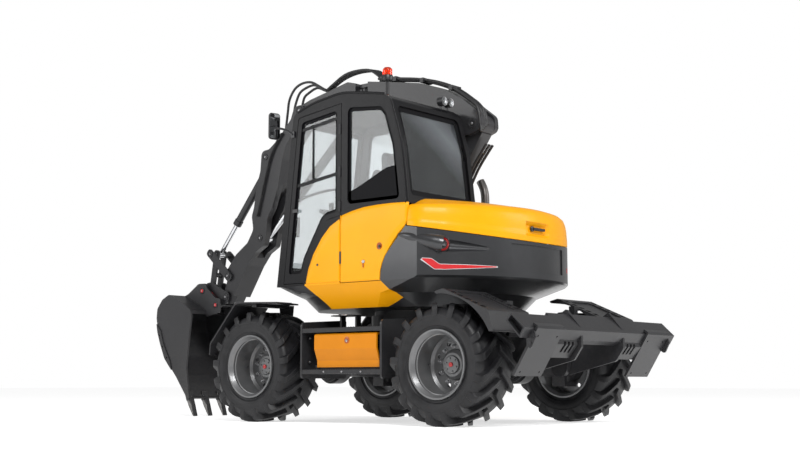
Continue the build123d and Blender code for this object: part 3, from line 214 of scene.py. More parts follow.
def turned(rows: Rows, foot: Place, axis: Place, sides: int = 24) -> Shell:
    """A solid of revolution: each row (along, radius) is a circle about the axis, ends filled.

    Args:
        rows: Distance along the axis and radius, first end to last.
        foot: Point on the axis where along is zero.
        axis: Direction of the axis.
        sides: Points on each circle.

    Returns:
        The closed skin.
    """
    direction = np.asarray(Vector(axis).normalized())
    helper = (0.0, 0.0, 1.0) if abs(direction[2]) < 0.9 else (1.0, 0.0, 0.0)
    first = unit(np.cross(helper, direction))
    second = np.cross(direction, first)
    table = np.maximum(np.asarray(rows, float), (-np.inf, LEAST_RADIUS))
    circle = ring(1.0, sides)
    across = circle[:, :1] * first + circle[:, 1:] * second
    points = np.asarray(foot) + table[:, None, :1] * direction + table[:, None, 1:] * across
    return surface(points)


def repeated(parts: tuple[tuple[Rows, int], ...], feet: list[Place], axis: Place) -> Shell:
    """Turned parts set together at every foot.

    Args:
        parts: Rows and number of sides of each part.
        feet: Places of the parts' feet.
        axis: Direction of the parts' axes.

    Returns:
        All of them as one shell.
    """
    shell = Shell()
    for foot in feet:
        shell.join(*(turned(rows, foot, axis, sides) for rows, sides in parts))
    return shell


def spun(rows: Array, centre: Place, count: int) -> Shell:
    """A closed ring: a section of (across, radius) turned about the axis through a centre.

    Args:
        rows: The section; across is along y.
        centre: A point on the axis.
        count: Steps of the whole turn.

    Returns:
        The closed skin.
    """
    angle = np.arange(count)[:, None] * 2 * math.pi / count
    x, z = rows[:, 1] * np.cos(angle), rows[:, 1] * np.sin(angle)
    y = np.broadcast_to(rows[:, 0], x.shape)
    return surface(np.stack([x, y, z], -1) + np.asarray(centre), Closing.RING)


class Facing(Enum):
    """Which plane an outline is drawn in: where x, y and z stand in (first, second, depth)."""

    SIDE = (0, 2, 1)
    TOP = (0, 1, 2)


def placed(outline: Outline, facing: Facing, depth: float) -> Array:
    """Outline rows as points: (x, z) at y, or (x, y) at z, where depth is the third."""
    flat = np.asarray(outline, float) + (SLEW_X, 0.0)
    return np.column_stack([flat, np.full(len(flat), depth)])[:, list(facing.value)]


def plate(outline: Outline, facing: Facing, low: float, high: float) -> Shell:
    """A flat plate: the outline carried straight from low to high, both faces filled."""
    return surface(np.stack([placed(outline, facing, low), placed(outline, facing, high)]))


def rounded(rows: Rows, steps: int = 6) -> Array:
    """An outline whose corners are arcs.

    At a corner of radius r with the angle a between its sides, the arc starts r / tan(a / 2) before
    the corner and turns about a point r / sin(a / 2) from it, on the line that halves the angle.

    Args:
        rows: Corners as (u, v) or (u, v, radius).
        steps: Spans of each arc.

    Returns:
        Rows of (u, v).
    """
    corners = np.asarray([tuple(row) + (0.0,) * (3 - len(row)) for row in rows])
    share = np.linspace(0, 1, steps + 1)[:, None]
    made = []
    for before, corner, after in zip(np.roll(corners, 1, 0), corners, np.roll(corners, -1, 0)):
        here, radius = corner[:2], corner[2]
        if radius <= 0:
            made.append(here[None])
            continue
        back, ahead = unit(before[:2] - here), unit(after[:2] - here)
        half = math.acos(float(np.clip(back @ ahead, -1, 1))) / 2
        centre = here + unit(back + ahead) * radius / math.sin(half)
        start = here + back * radius / math.tan(half) - centre
        end = here + ahead * radius / math.tan(half) - centre
        made.append(centre + unit(start * (1 - share) + end * share) * radius)
    return np.concatenate(made)


def oblong(low: tuple[float, float], high: tuple[float, float], radii: tuple[float, ...]) -> Rows:
    """Corners of an upright oblong, from its low one round by (high, low), with their radii."""
    corners = (low, (high[0], low[1]), high, (low[0], high[1]))
    return [(*corner, radius) for corner, radius in zip(corners, radii)]


def inset(outline: Array, width: float) -> Array:
    """The outline drawn in by a width: each corner moves along the mean of its sides' normals.

    Args:
        outline: Rows of (u, v).
        width: Distance between the two outlines' sides.

    Returns:
        Rows of (u, v), one for each row of the outline.
    """
    ahead = np.roll(outline, -1, 0)
    step = ahead - outline
    step = step / np.maximum(np.linalg.norm(step, axis=1, keepdims=True), 1e-9)
    area = float(np.sum(outline[:, 0] * ahead[:, 1] - ahead[:, 0] * outline[:, 1]))
    normal = np.stack([-step[:, 1], step[:, 0]], -1) * (-1 if area < 0 else 1)
    mean = normal + np.roll(normal, 1, 0)
    mean = mean / np.maximum(np.sum(mean * normal, 1, keepdims=True), 0.4)
    return outline + mean * width


def band(rows: Rows, width: float, facing: Facing, low: float, high: float) -> Shell:
    """A flat closed strip along a rounded outline, from the outline inwards by a width.

    Args:
        rows: Corners of the outline, with their radii.
        width: Width of the strip.
        facing: Plane of the outline.
        low: Depth of its back.
        high: Depth of its face.

    Returns:
        The closed strip.
    """
    outer = rounded(rows)
    inner = inset(outer, width)
    loops = ((outer, low), (outer, high), (inner, high), (inner, low))
    return surface(np.stack([placed(flat, facing, depth) for flat, depth in loops]), Closing.RING)


def slab(x0: float, x1: float, y0: float, y1: float, z0: float, z1: float) -> Shell:
    """A small block between two corners, the x values from the slewing axis."""
    return plate([(x0, y0), (x1, y0), (x1, y1), (x0, y1)], Facing.TOP, z0, z1)


def bolt(foot: Place, axis: Place, across: float, height: float) -> Shell:
    """A hexagon bolt head on its washer: two short turned discs, the upper one six-sided.

    Args:
        foot: Where the washer lies.
        axis: Direction in which the head stands out.
        across: Size of the bolt, a little less than its head's width.
        height: Height of the head.

    Returns:
        Both as one shell.
    """
    washer = ((-0.002, across * 0.72), (0.002, across * 0.72))
    head = ((0.0, across * 0.58), (height * 0.8, across * 0.58), (height, across * 0.5))
    return repeated(((washer, 14), (head, 6)), [foot], axis)


def sheet(front: Array, back: Array) -> Shell:
    """A closed sheet between two grids of the same shape, one its face and the other its back."""
    return surface(np.concatenate([front, back[:, ::-1]], 1))


def read_off(rows: Outline, count: int) -> Array:
    """Rows read off at a number of even steps from the first row to the last.

    Args:
        rows: The table that is read.
        count: Number of rows wanted.

    Returns:
        The rows; what lies between two rows of the table is on a straight line.
    """
    table = np.asarray(rows, float)
    share = np.linspace(0, len(table) - 1, count)
    return np.stack([np.interp(share, np.arange(len(table)), column) for column in table.T], -1)


class Edge(Enum):
    """How a piece's edges are finished: the width of the bevel."""

    SHARP = 0.0
    FINE = 0.0015
    SOFT = 0.004
    ROUND = 0.008


def piece(
    name: str, shell: Shell, finish: "Finish", body: str,
    edge: Edge = Edge.SHARP, angle: float = 35.0,
) -> bpy.types.Object:
    """Makes a shell an object of the machine.

    Args:
        name: Name of the object.
        shell: Its points and faces, in the frame.
        finish: The material's description.
        body: The body it moves with.
        edge: How far its edges are rounded.
        angle: Faces that meet at less than this many degrees are shaded as one surface.

    Returns:
        The object, riding on its body.
    """
    mesh = bpy.data.meshes.new(name)
    mesh.from_pydata(np.concatenate(shell.points).tolist(), [], shell.faces)
    work = bmesh.new()
    work.from_mesh(mesh)
    bmesh.ops.recalc_face_normals(work, faces=work.faces)
    work.to_mesh(mesh)
    work.free()
    mesh.shade_smooth()
    mesh.set_sharp_from_angle(angle=math.radians(angle))
    thing = bpy.data.objects.new(name, mesh)
    bpy.context.scene.collection.objects.link(thing)
    if edge is not Edge.SHARP:
        bevel = thing.modifiers.new("edges", "BEVEL")
        bevel.width = edge.value
        bevel.segments = 2
        bevel.limit_method = "ANGLE"
        bevel.angle_limit = math.radians(40)
    mesh.materials.append(finish.material())
    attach(thing, body)
    LOG.info("%s: %d faces on %s", name, len(shell.faces), body)
    return thing


# Finishes


def toned(colour: Colour, factor: float, lift: float = 0.0) -> Colour:
    """A colour made lighter or darker by a factor, and lifted by an amount, up to white."""
    return tuple(min(1.0, c * factor + lift) for c in colour)


class Graph:
    """A short way to write a material's nodes."""

    def __init__(self, name: str) -> None:
        """An empty material with a Principled shader."""
        self.made = bpy.data.materials.new(name)
        self.made.use_nodes = True
        self.tree = self.made.node_tree

    def feed(self, socket: Socket, value: object) -> None:
        """Joins a socket to another one, or sets its number, vector or colour.

        Args:
            socket: The socket that is fed.
            value: Another socket, a number, a vector or a colour of three numbers.
        """
        if isinstance(value, Socket):
            self.tree.links.new(value, socket)
        else:
            socket.default_value = (*value, 1.0) if socket.type == "RGBA" else value

    def node(self, kind: str, **values: object) -> bpy.types.Node:
        """Adds a node and sets its options and inputs.

        Args:
            kind: Blender's name of the node type.
            **values: Options, or inputs written with underscores for spaces.

        Returns:
            The node.
        """
        made = self.tree.nodes.new(kind)
        for key, value in values.items():
            if hasattr(made, key):
                setattr(made, key, value)
            else:
                self.feed(made.inputs[key.replace("_", " ")], value)
        return made

    def shade(self, **values: object) -> None:
        """Feeds the shader's inputs, written with underscores for spaces."""
        shader = self.tree.nodes["Principled BSDF"]
        for key, value in values.items():
            self.feed(shader.inputs[key.replace("_", " ")], value)

    def here(self, centre: Place = (0, 0, 0), scale: Place = (1, 1, 1)) -> Socket:
        """Object coordinates, measured from a centre and stretched by scale.

        Args:
            centre: Place that becomes the origin.
            scale: Stretch along x, y and z.

        Returns:
            The coordinates' socket.
        """
        coordinates = self.node("ShaderNodeTexCoord").outputs["Object"]
        start = [-c * s for c, s in zip(centre, scale)]
        moved = self.node("ShaderNodeMapping", Vector=coordinates, Location=start, Scale=scale)
        return moved.outputs["Vector"]

    def axes(self, vector: Socket) -> tuple[Socket, ...]:
        """The x, y and z of a vector."""
        return tuple(self.node("ShaderNodeSeparateXYZ", Vector=vector).outputs)

    def noise(self, vector: Socket, scale: float, detail: float = 3.0) -> Socket:
        """Cloudy noise from 0 to 1 at so many cells a metre."""
        made = self.node("ShaderNodeTexNoise", Vector=vector, Scale=scale, Detail=detail)
        return made.outputs["Fac"]

    def remap(
        self, value: Socket, low: float, high: float, to_low: float = 0.0, to_high: float = 1.0
    ) -> Socket:
        """Carries the range low to high onto another, clamped.

        Args:
            value: Number to carry over.
            low: Start of its range.
            high: End of its range.
            to_low: Start of the new range.
            to_high: End of the new range.

        Returns:
            The new number's socket.
        """
        source = {"From_Min": low, "From_Max": high}
        made = self.node("ShaderNodeMapRange", Value=value, **source, To_Min=to_low, To_Max=to_high)
        return made.outputs["Result"]

    def math(self, kind: str, first: Socket, second: object = 0.0) -> Socket:
        """One step of arithmetic on a socket and a second one or a number.

        Args:
            kind: Blender's name of the operation.
            first: First operand.
            second: Second operand, where the operation has one.

        Returns:
            The result's socket.
        """
        made = self.node("ShaderNodeMath", operation=kind)
        self.feed(made.inputs[0], first)
        self.feed(made.inputs[1], second)
        return made.outputs[0]

    def blend(self, share: Socket, first: object, second: object) -> Socket:
        """Mixes two colours by a share from 0 to 1.

        Args:
            share: Share of the second colour.
            first: A colour, as numbers or a socket.
            second: The other one, likewise.

        Returns:
            The mixed colour's socket.
        """
        made = self.node("ShaderNodeMix", data_type="RGBA", Factor=share)
        self.feed(made.inputs[6], first)
        self.feed(made.inputs[7], second)
        return made.outputs[2]

    def bump(self, height: Socket, strength: float, distance: float) -> None:
        """Presses a height into the shader's normal."""
        made = self.node("ShaderNodeBump", Height=height, Strength=strength, Distance=distance)
        self.shade(Normal=made.outputs["Normal"])


@dataclass(frozen=True)
class Finish:
    """Common ground of all finishes.

    Args:
        name: Name of the material.
        slot: The record's material slot; not used.
        colour: Main colour, linear.
    """

    name: str
    slot: str
    colour: Colour

    def material(self) -> bpy.types.Material:
        """The material, made once.

        Returns:
            The material, new or made before.
        """
        label = self.name + "_look"
        found = bpy.data.materials.get(label)
        if found is None:
            graph = Graph(label)
            self.draw(graph)
            found = graph.made
        return found

    def draw(self, graph: Graph) -> None:
        """Sets up the shader; each kind of finish has its own.

        Args:
            graph: The material's nodes.
        """
        raise NotImplementedError


@dataclass(frozen=True)
class Paint(Finish):
    """Sprayed paint on steel or moulded plastic, with faint clouding, orange peel and dust.

    Args:
        rough: Mean roughness.
        coat: Weight of the clear coat.
        metal: How metallic the pigment looks.
        clouds: How much the tone drifts over a panel.
        grain: Height of the surface grain in metres.
        grain_cells: Grain cells a metre.
        dust: How much dust gathers near the ground.
        shine: Specular level.
        soil: Colour of the dust.
    """

    rough: float = 0.4
    coat: float = 0.3
    metal: float = 0.0
    clouds: float = 0.08
    grain: float = 0.00004
    grain_cells: float = 350.0
    dust: float = 0.25
    shine: float = 0.4
    soil: Colour = (0.20, 0.18, 0.155)

    def draw(self, graph: Graph) -> None:
        """Clouds drift the tone, grain lifts the surface and dust thickens downwards.

        Args:
            graph: The material's nodes.
        """
        here = graph.here()
        cloud = graph.noise(here, 2.3, 4.0)
        fine = graph.noise(here, self.grain_cells, 2.0)
        speckle = graph.noise(here, 38.0, 5.0)
        dark = toned(self.colour, 1 - 2 * self.clouds)
        light = toned(self.colour, 1 + self.clouds)
        tone = graph.blend(graph.remap(cloud, 0.35, 0.65), dark, light)
        low = graph.remap(graph.axes(here)[2], 0.15, 1.1, self.dust, 0.0)
        dusty = graph.math("MULTIPLY", low, graph.remap(speckle, 0.42, 0.68))
        uneven = graph.remap(speckle, 0.3, 0.7, self.rough - 0.02, self.rough + 0.03)
        graph.shade(
            Base_Color=graph.blend(dusty, tone, self.soil), Metallic=self.metal,
            Roughness=graph.math("ADD", uneven, dusty), Specular_IOR_Level=self.shine,
            Coat_Weight=self.coat, Coat_Roughness=0.12,
        )
        graph.bump(fine, 0.35, self.grain)


@dataclass(frozen=True)
class Steel(Finish):
    """Bare or burnished metal with fine scratches.

    Args:
        rough: Mean roughness.
        scratch: Height of the scratches in metres.
        along: Stretch of the scratch pattern on x, y and z.
    """

    rough: float = 0.2
    scratch: float = 0.0001
    along: Place = (20.0, 300.0, 20.0)

    def draw(self, graph: Graph) -> None:
        """Long thin noise cells give brushed scratches, broad ones a change of gloss.

        Args:
            graph: The material's nodes.
        """
        scratch = graph.noise(graph.here(scale=self.along), 1.0, 6.0)
        patch = graph.noise(graph.here(), 7.0, 3.0)
        dull = toned(self.colour, 0.82)
        graph.shade(
            Base_Color=graph.blend(graph.remap(scratch, 0.4, 0.6), dull, self.colour), Metallic=1.0,
            Roughness=graph.remap(patch, 0.3, 0.7, self.rough * 0.7, self.rough * 1.5),
        )
        graph.bump(scratch, 0.3, self.scratch)


@dataclass(frozen=True)
class Rubber(Finish):
    """Matt black rubber with a fine grain and dust in patches.

    Args:
        centre: Where the wheel's axis lies, in x and z; rings are drawn about it.
        rings: Height of the moulded rings in metres, nothing for a hose.
        spacing: Distance from one moulded ring to the next.
    """

    centre: tuple[float, float] = (0.0, 0.0)
    rings: float = 0.0
    spacing: float = 0.012

    def draw(self, graph: Graph) -> None:
        """Grain everywhere; on a tyre also rings: a sine of the distance from the wheel's axis.

        Args:
            graph: The material's nodes.
        """
        here = graph.here(centre=(self.centre[0], 0.0, self.centre[1]))
        height = graph.noise(here, 160.0, 4.0)
        patch = graph.noise(here, 9.0, 5.0)
        dusty = toned(self.colour, 1.8, 0.004)
        if self.rings > 0:
            x, _, z = graph.axes(here)
            square = graph.math("ADD", graph.math("MULTIPLY", x, x), graph.math("MULTIPLY", z, z))
            radius = graph.math("SQRT", square)
            wave = graph.math("SINE", graph.math("MULTIPLY", radius, 2 * math.pi / self.spacing))
            ribs = graph.math("MULTIPLY", wave, graph.remap(radius, 0.40, 0.44, 1.0, 0.0))
            height = graph.math("ADD", graph.math("MULTIPLY", ribs, 0.6), height)
        graph.shade(
            Base_Color=graph.blend(graph.remap(patch, 0.4, 0.7), self.colour, dusty),
            Roughness=graph.remap(patch, 0.3, 0.7, 0.38, 0.55), Specular_IOR_Level=0.32,
        )
        graph.bump(height, 0.4, 0.0006 + self.rings)


@dataclass(frozen=True)
class Glass(Finish):
    """Clear or tinted glass or lens plastic.

    Args:
        rough: Roughness of the surface.
        painted_glow: Strength of a faint painted glow, emission that stands in for the light a lamp
            lens catches.
    """

    rough: float = 0.0
    painted_glow: float = 0.0

    def draw(self, graph: Graph) -> None:
        """Light goes through, and a faint film of dust dulls the gloss.

        Args:
            graph: The material's nodes.
        """
        film = graph.noise(graph.here(), 6.0, 5.0)
        graph.shade(
            Base_Color=self.colour, Transmission_Weight=1.0, IOR=1.45,
            Roughness=graph.remap(film, 0.4, 0.7, self.rough, self.rough + 0.04),
        )
        # Painted glow: emission that stands in for the light the lens catches
        if self.painted_glow > 0:
            graph.shade(Emission_Color=self.colour, Emission_Strength=self.painted_glow)


@dataclass(frozen=True)
class FilmWithReflection(Finish):
    """Dark film behind a pane, with a painted reflection across it: the pale streak of a lamp.

    Args:
        middle: Height where the streak crosses the plane y = 0.
        slope: Rise of the streak along y.
        width: Half of its width.
        cover: How much of the light the film stops.
    """

    middle: float = 2.35
    slope: float = 0.75
    width: float = 0.36
    cover: float = 0.9

    def draw(self, graph: Graph) -> None:
        """The painted reflection falls off with the height above or below a slanted line.

        Args:
            graph: The material's nodes.
        """
        _, y, z = graph.axes(graph.here())
        away = graph.math("ADD", z, graph.math("MULTIPLY", y, -self.slope))
        away = graph.math("ABSOLUTE", graph.math("ADD", away, -self.middle))
        share = graph.remap(away, 0.0, self.width, 1.0, 0.0)
        # Painted reflection: a pale streak, as of a lamp seen in the glass, laid across the dark
        # film
        graph.shade(
            Base_Color=graph.blend(share, self.colour, toned(self.colour, 26.0)), Roughness=0.35,
            Specular_IOR_Level=0.2, Alpha=self.cover,
        )


@dataclass(frozen=True)
class Cloth(Finish):
    """Woven seat cloth: two crossed fine waves lift the threads, and the hollows between them are
    painted darker as painted shade.

    Args:
        threads: Threads a metre.
    """

    threads: float = 420.0

    def draw(self, graph: Graph) -> None:
        """The weave is the product of two sines, one across and one along; its hollows are painted
        darker as shade.

        Args:
            graph: The material's nodes.
        """
        x, y, z = graph.axes(graph.here())
        step = 2 * math.pi * self.threads
        across = graph.math("SINE", graph.math("MULTIPLY", y, step))
        along = graph.math("SINE", graph.math("MULTIPLY", graph.math("ADD", x, z), step))
        weave = graph.math("MULTIPLY", across, along)
        # Painted shade: where the weave is low the colour falls to 0.6 of its own
        tone = graph.blend(graph.remap(weave, -1, 1), toned(self.colour, 0.6), self.colour)
        graph.shade(Base_Color=tone, Roughness=0.85, Sheen_Weight=0.25)
        graph.bump(weave, 0.5, 0.0005)


YELLOW = Paint("yellow_paint", "panel_paint", (0.82, 0.345, 0.001), rough=0.38, coat=0.05,
               clouds=0.02, dust=0.0, shine=0.18)
# Painted shade: a darker, more orange copy of the panel yellow, given to the tool box lids
BOX_YELLOW_SHADED = Paint("box_yellow_painted_shade", "panel_paint", (0.62, 0.21, 0.002), rough=0.38, coat=0.05,
                   clouds=0.04, dust=0.0, shine=0.18)
DARK_PAINT = Paint("dark_paint", "frame_paint", (0.020, 0.020, 0.022), rough=0.38, coat=0.1,
                   dust=0.06, shine=0.3)
ARM_PAINT = Paint("arm_paint", "arm_paint", (0.024, 0.024, 0.026), rough=0.34, coat=0.15,
                  dust=0.0, shine=0.32)
WEIGHT_PAINT = Paint("weight_paint", "weight_paint", (0.050, 0.051, 0.054), rough=0.30, coat=0.25,
                     metal=0.6, dust=0.0)
CAB_PAINT = Paint("cab_paint", "cab_paint", (0.005, 0.005, 0.006), rough=0.34, coat=0.0,
                  clouds=0.0, dust=0.0, shine=0.16)
MOULDED = Paint("moulded_plastic", "guard_plastic", (0.022, 0.022, 0.024), rough=0.42, coat=0.0,
                grain=0.0004, grain_cells=900.0, dust=0.1)
CONSOLE = Paint("console_plastic", "console_plastic", (0.055, 0.055, 0.058), rough=0.55, coat=0.0,
                grain_cells=900.0)
LAMP_BLACK = Paint("lamp_black", "lamp_black", (0.018, 0.018, 0.020), rough=0.4, coat=0.1)
RED_PAINT = Paint("red_paint", "lamp_lens", (0.62, 0.015, 0.02), rough=0.35, coat=0.4)
RIM_PAINT = Paint("rim_paint", "rim_paint", (0.17, 0.172, 0.176), rough=0.36, coat=0.25,
                  metal=0.5, dust=0.1)
# Painted highlight: a lighter copy of the rim's paint for the rib on the rim's lip, where light
# catches it
RIM_HIGHLIGHT = Paint("rim_painted_highlight", "rim_paint", (0.42, 0.425, 0.43), rough=0.32, coat=0.3, metal=0.5,
                 dust=0.1)
BUCKET_PAINT = Paint("bucket_paint", "bucket_steel", (0.022, 0.022, 0.024), rough=0.42, coat=0.15,
                     clouds=0.1, dust=0.1)
GLOSS_BLACK = Paint("gloss_black", "cab_paint", (0.004, 0.004, 0.005), rough=0.45, coat=0.0,
                    clouds=0.0, dust=0.0, grain=0.0, shine=0.08)
RED_DISH = Paint("orange_dish", "panel_paint", (0.35, 0.07, 0.005), rough=0.35, dust=0.0)
PALE = Paint("pale_edge", "weight_paint", (0.55, 0.56, 0.57), rough=0.3, dust=0.0)
IRON = Paint("cast_iron", "engine_iron", (0.06, 0.06, 0.06), rough=0.6, coat=0.0, grain=0.0006)
TUBE_STEEL = Steel("exhaust_steel", "exhaust_steel", (0.16, 0.15, 0.145), 0.4)
CHROME = Steel("rod_chrome", "rod_chrome", (0.70, 0.71, 0.73), 0.12, along=(30.0, 400.0, 30.0))
ZINC = Steel("zinc_bolts", "rod_chrome", (0.42, 0.42, 0.43), 0.35, along=(90.0, 90.0, 90.0))
WORN_STEEL = Steel("worn_steel", "bucket_steel", (0.24, 0.235, 0.23), 0.35,
                   along=(20.0, 20.0, 60.0))
MIRROR_GLASS = Steel("mirror_glass", "lamp_black", (0.80, 0.82, 0.84), 0.03, scratch=0.0)
CAB_GLASS = Glass("cab_glass", "cab_glass", (0.62, 0.65, 0.66))
# The lenses' glow is painted light: emission that stands in for the light they catch
BEACON_LENS = Glass("beacon_lens", "beacon_lens", (0.90, 0.13, 0.01), rough=0.05, painted_glow=0.12)
RED_LENS = Glass("red_lens", "lamp_lens", (0.75, 0.02, 0.02), rough=0.08, painted_glow=0.30)
WHITE_LENS = Glass("white_lens", "lamp_black", (0.9, 0.92, 0.93), rough=0.08)
# Dark film for the rear pane, with a painted reflection of a lamp across it
FILM_WITH_REFLECTION = FilmWithReflection("window_film_painted_reflection", "cab_glass", (0.012, 0.012, 0.013))
SEAT_CLOTH = Cloth("seat_cloth", "seat_cloth", (0.14, 0.14, 0.145))
HOSE = Rubber("hose_rubber_black", "tyre", (0.017, 0.017, 0.018))
SOLID_RUBBER = (0.020, 0.020, 0.021)
TREAD_RUBBER = (0.007, 0.007, 0.008)


class Wheel(Enum):
    """The four wheels, by the ends of their nodes' names, with side and axle."""

    FRONT_LEFT = ("front_left", 1, AXLE_FRONT)
    FRONT_RIGHT = ("front_right", -1, AXLE_FRONT)
    REAR_LEFT = ("rear_left", 1, AXLE_REAR)
    REAR_RIGHT = ("rear_right", -1, AXLE_REAR)

    @property
    def label(self) -> str:
        """End of the node names."""
        return self.value[0]

    @property
    def side(self) -> int:
        """Left is 1, right is -1."""
        return self.value[1]

    @property
    def out(self) -> Place:
        """Direction from the machine's middle out through the wheel."""
        return (0.0, float(self.side), 0.0)

    def spot(self, x: float = 0.0, y: float = 0.0, z: float = 0.0) -> Place:
        """A place ahead of the wheel's axis, outside its middle and above its axis."""
        return (self.value[2] + x, self.side * (WHEEL_Y + y), WHEEL_RADIUS + z)

    def rubber(self, name: str, colour: Colour, rings: float) -> Rubber:
        """Rubber whose moulded rings run round this wheel's axis."""
        return Rubber("rubber_" + name, "tyre", colour, (self.value[2], WHEEL_RADIUS), rings)


@dataclass(frozen=True)
class SolidFinishes:
    """Which finish each solid of the frame is given.

    Args:
        table: A finish and the starts of its nodes' names; the first match counts.
    """

    table: tuple[tuple[Finish, tuple[str, ...]], ...] = (
        (CAB_GLASS, ("cab_glass", "cab_door_glass")),
        (CAB_PAINT, ("cab",)),
        (RIM_PAINT, ("rim",)),
        # The box lids take the darker copy of the yellow, which is painted shade
        (BOX_YELLOW_SHADED, ("box_lid",)),
        (YELLOW, ("side_panels", "service_door", "hood", "lower_panels")),
        (WEIGHT_PAINT, ("counterweight",)),
        (MOULDED, ("rear_guards",)),
        (CONSOLE, ("console",)),
        (SEAT_CLOTH, ("seat",)),
        (IRON, ("engine",)),
        (TUBE_STEEL, ("exhaust",)),
        (BEACON_LENS, ("beacon",)),
        (LAMP_BLACK, ("mirror", "work_lamps")),
        (RED_LENS, ("tail_lamp",)),
        (CHROME, ("bucket_rod", "lift_rods", "boom_rod", "dipper_rod", "stabiliser_rod")),
        (ARM_PAINT, ("bucket_rocker", "bucket_link", "bucket_barrel", "coupler", "lift_barrels",
                     "boom_barrel", "lower_boom", "upper_boom", "offset_link", "dipper")),
        (BUCKET_PAINT, ("bucket",)),
    )

    def dress(self) -> None:
        """Puts the finish on every solid; whatever the table leaves out is painted dark."""
        for name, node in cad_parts.items():
            finish = next((f for f, starts in self.table if name.startswith(starts)), DARK_PAINT)
            if name.startswith("tyre"):
                wheel = next(w for w in Wheel if name.endswith(w.label))
                finish = wheel.rubber(name, SOLID_RUBBER, 0.0005)
            node.data.materials.clear()
            node.data.materials.append(finish.material())
            LOG.info("%s: solid finished with %s", name, finish.name)


@dataclass(frozen=True)
class Studio:
    """Floor, lights and camera.

    Args:
        eye: Where the camera stands.
        yaw: Heading of its view in degrees, from x towards y.
        pitch: How far it looks up, in degrees.
        lens: Focal length in millimetres on a sensor 36 wide.
        floor_half: Half of the floor's side.
        floor_glow: Light that the floor gives off, so that it stays white between the lamps.
        room: Strength of the plain light from all sides.
        lamps: Name, place, target, watts and side of each square soft lamp.
    """

    eye: Place = (-8.6776, 9.8095, 0.3798)
    yaw: float = -50.29
    pitch: float = 6.92
    lens: float = 58.115
    floor_half: float = 60.0
    floor_glow: float = 0.62
    room: float = 0.36
    lamps: tuple[tuple[str, Place, Place, float, float], ...] = (
        ("key", (-8.0, 7.0, 9.0), (0.0, 0.0, 1.2), 1100.0, 4.0),
        ("fill", (7.0, 10.0, 5.0), (0.0, 0.0, 1.2), 350.0, 5.0),
        ("rim", (-10.0, -5.0, 6.0), (-0.5, 0.0, 1.5), 380.0, 4.0),
    )

    @staticmethod
    def aimed(name: str, data: bpy.types.ID, place: Place, way: Vector) -> bpy.types.Object:
        """A camera or lamp set in a place and turned to look along a direction.

        Args:
            name: Name of the object.
            data: The camera's or lamp's data.
            place: Where it stands.
            way: Direction that it looks along.

        Returns:
            The object.
        """
        holder = bpy.data.objects.new(name, data)
        holder.location = place
        holder.rotation_euler = way.to_track_quat("-Z", "Y").to_euler()
        bpy.context.scene.collection.objects.link(holder)
        return holder

    def camera(self) -> None:
        """A level camera at the photograph's place, looking slightly up."""
        data = bpy.data.cameras.new("camera")
        data.lens = self.lens
        data.sensor_width = 36.0
        data.clip_end = 300.0
        yaw, pitch = math.radians(self.yaw), math.radians(self.pitch)
        level = math.cos(pitch)
        way = Vector((math.cos(yaw) * level, math.sin(yaw) * level, math.sin(pitch)))
        bpy.context.scene.camera = self.aimed("camera", data, self.eye, way)

    def floor(self) -> None:
        """A wide pale floor that looks white to the camera and keeps the machine's shadow."""
        line = np.linspace(-self.floor_half, self.floor_half, 9)
        x, y = np.meshgrid(line, line, indexing="ij")
        skin = surface(np.stack([x, y, np.zeros_like(x)], -1), Closing.OPEN)
        mesh = bpy.data.meshes.new("floor")
        mesh.from_pydata(np.concatenate(skin.points).tolist(), [], skin.faces)
        ground = bpy.data.objects.new("floor", mesh)
        bpy.context.scene.collection.objects.link(ground)
        graph = Graph("floor_paper")
        mottle = graph.remap(graph.noise(graph.here(), 0.8), 0.3, 0.7)
        graph.shade(
            Base_Color=graph.blend(mottle, (0.90, 0.90, 0.90), (0.94, 0.94, 0.94)), Roughness=0.9,
            Emission_Color=(1.0, 1.0, 1.0), Emission_Strength=self.floor_glow,
        )
        mesh.materials.append(graph.made)

    def light(self) -> None:
        """A plain bright room, white where the camera sees it, with key, fill and rim lamps."""
        world = bpy.data.worlds.new("room")
        bpy.context.scene.world = world
        world.use_nodes = True
        nodes, links = world.node_tree.nodes, world.node_tree.links
        shade, white = nodes["Background"], nodes.new("ShaderNodeBackground")
        for background, strength in ((shade, self.room), (white, 1.0)):
            background.inputs["Color"].default_value = (1.0, 1.0, 1.0, 1.0)
            background.inputs["Strength"].default_value = strength
        rays, either = nodes.new("ShaderNodeLightPath"), nodes.new("ShaderNodeMath")
        either.operation = "MAXIMUM"
        links.new(rays.outputs["Is Camera Ray"], either.inputs[0])
        links.new(rays.outputs["Is Transmission Ray"], either.inputs[1])
        mix = nodes.new("ShaderNodeMixShader")
        for i, node in enumerate((either, shade, white)):
            links.new(node.outputs[0], mix.inputs[i])
        links.new(mix.outputs[0], nodes["World Output"].inputs["Surface"])
        for name, place, target, power, size in self.lamps:
            data = bpy.data.lights.new(name, "AREA")
            data.energy = power
            data.size = size
            self.aimed(name, data, place, Vector(target) - Vector(place))
        bpy.context.scene.view_settings.view_transform = "Standard"


# The machine's sub-assemblies


@dataclass(frozen=True)
class Fitting:
    """A small turned piece.

    Args:
        name: Name of the piece.
        rows: Distance along its axis and radius, foot to end.
        foot: Place of its foot, x from the slewing axis.
        axis: Direction in which it stands out.
        sides: Points on each circle.
        finish: Its finish.
        body: The body it moves with.
        edge: How its edges are finished.
    """

    name: str
    rows: Rows
    foot: Place
    axis: Place
    sides: int
    finish: Finish
    body: str
    edge: Edge = Edge.SHARP

    def build(self) -> None:
        """Turns the piece."""
        shell = turned(self.rows, at(*self.foot), self.axis, self.sides)
        piece(self.name, shell, self.finish, self.body, self.edge)


